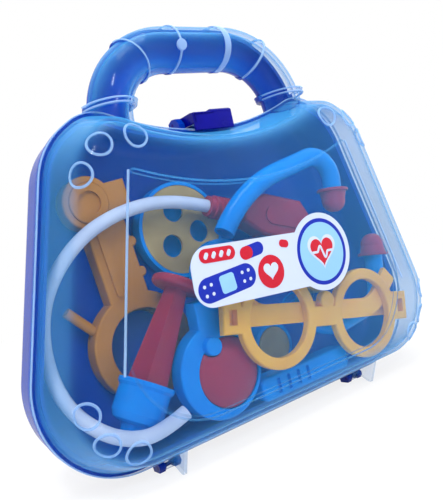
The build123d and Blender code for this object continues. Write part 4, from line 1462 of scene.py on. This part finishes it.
@dataclass
class Studio:
    """A pale sweep, a white surround for eye and mirror rays, and five soft lamps. Sizes are metres."""

    floor_size: float = 6.0
    surround: float = 0.42
    aim: tuple[float, float, float] = (0.0, 0.0, 0.09)
    paper: tuple[str, str] = ("#FAFBFD", "#F4F6FA")
    white_from: tuple[float, float] = (0.12, 0.75)  # distances between which the floor turns to paper white
    white_share: tuple[float, float] = (0.82, 1.0)
    lamps: tuple[Lamp, ...] = (
        Lamp("key_panel", (-0.5, -0.9, 0.95), 0.7, 8.0, False),
        Lamp("sparkle", (-0.42, -0.55, 0.85), 0.13, 3.2, True),
        Lamp("fill_panel", (0.9, -0.6, 0.45), 0.7, 3.6, False),
        Lamp("back_panel", (0.25, 0.9, 0.75), 0.8, 5.0, False),
        Lamp("top_panel", (0.0, -0.1, 1.25), 0.6, 5.0, True),
    )

    def any_ray(self, tree: bpy.types.NodeTree, kinds: Sequence[str]) -> bpy.types.NodeSocket:
        """1 for a ray of any of the given kinds, else 0: the largest of their flags.

        Args:
            tree: the node tree.
            kinds: outputs of the light path.
        Returns:
            The flag.
        """
        rays = add(tree, "ShaderNodeLightPath")
        seen = rays.outputs[kinds[0]]
        for kind in kinds[1:]:
            flags = {0: seen, 1: rays.outputs[kind]}
            seen = add(tree, "ShaderNodeMath", flags, operation="MAXIMUM").outputs[0]
        return seen

    def world(self) -> None:
        """Strength 1 white where the eye, a mirror or glass sees it, and a dim even light elsewhere."""
        world = bpy.data.worlds.new("surround")
        bpy.context.scene.world = world
        world.use_nodes = True
        tree = world.node_tree
        tree.nodes.clear()
        seen = self.any_ray(tree, ("Is Camera Ray", "Is Transmission Ray", "Is Glossy Ray"))
        light = add(tree, "ShaderNodeBackground", {"Color": WHITE, "Strength": self.surround})
        paper = add(tree, "ShaderNodeBackground", {"Color": WHITE, "Strength": 1.0})
        both = add(tree, "ShaderNodeMixShader", {0: seen, 1: light.outputs[0], 2: paper.outputs[0]})
        add(tree, "ShaderNodeOutputWorld", {"Surface": both.outputs[0]})

    def paper_finish(self) -> bpy.types.Material:
        """Matt paper that the eye sees nearly white: whiter far out, so that no horizon shows.

        Returns:
            The floor's material.
        """
        material, tree, surface = new_tree("pale_paper")
        where = add(tree, "ShaderNodeTexCoord").outputs["Object"]
        grain = add(tree, "ShaderNodeTexNoise", {"Vector": where, "Scale": 900.0, "Detail": 3.0})
        tone = mixed(tree, grain.outputs["Fac"], self.paper)
        matt = add(tree, "ShaderNodeBsdfDiffuse", {"Color": tone, "Roughness": 0.8})
        glow = add(tree, "ShaderNodeEmission", {"Color": WHITE, "Strength": 1.0})
        seen = self.any_ray(tree, ("Is Camera Ray", "Is Glossy Ray"))
        reach = add(tree, "ShaderNodeVectorMath", {0: where}, operation="LENGTH").outputs["Value"]
        (near, far), (least, most) = self.white_from, self.white_share
        fade = add(
            tree, "ShaderNodeMapRange",
            {"Value": reach, "From Min": near, "From Max": far, "To Min": least, "To Max": most},
        )
        share = add(tree, "ShaderNodeMath", {0: seen, 1: fade.outputs["Result"]}, operation="MULTIPLY")
        both = add(tree, "ShaderNodeMixShader", {0: share.outputs[0], 1: matt.outputs[0], 2: glow.outputs[0]})
        tree.links.new(both.outputs[0], surface)
        return material

    def floor(self) -> None:
        """A wide sheet at the height of the case's lowest point."""
        low, half = CAD_BOX[0].z, self.floor_size / 2
        mesh = bpy.data.meshes.new("floor")
        corners = [(-half, -half, low), (half, -half, low), (half, half, low), (-half, half, low)]
        mesh.from_pydata(corners, [], [(0, 1, 2, 3)])
        mesh.materials.append(self.paper_finish())
        floor = bpy.data.objects.new("floor", mesh)
        bpy.context.scene.collection.objects.link(floor)

    def build(self) -> None:
        """Sets the view transform and makes surround, floor and lamps."""
        bpy.context.scene.view_settings.view_transform = "Standard"
        self.world()
        self.floor()
        for lamp in self.lamps:
            lamp.build(Vector(self.aim))


ASSEMBLIES = (CarriedNodes(), StethoscopeTube(), CoverTrim(), HandleTrim(), LabelArt(), LatchTrim())


def main() -> None:
    """Builds the case in order and reports each piece."""
    logging.basicConfig(level=logging.INFO, format="%(name)s: %(message)s")
    CatalogueCamera().build()
    Studio().build()
    for assembly in ASSEMBLIES:
        LOG.info("building %s", assembly.__class__.__name__)
        assembly.build()


if __name__ == "__main__":
    main()
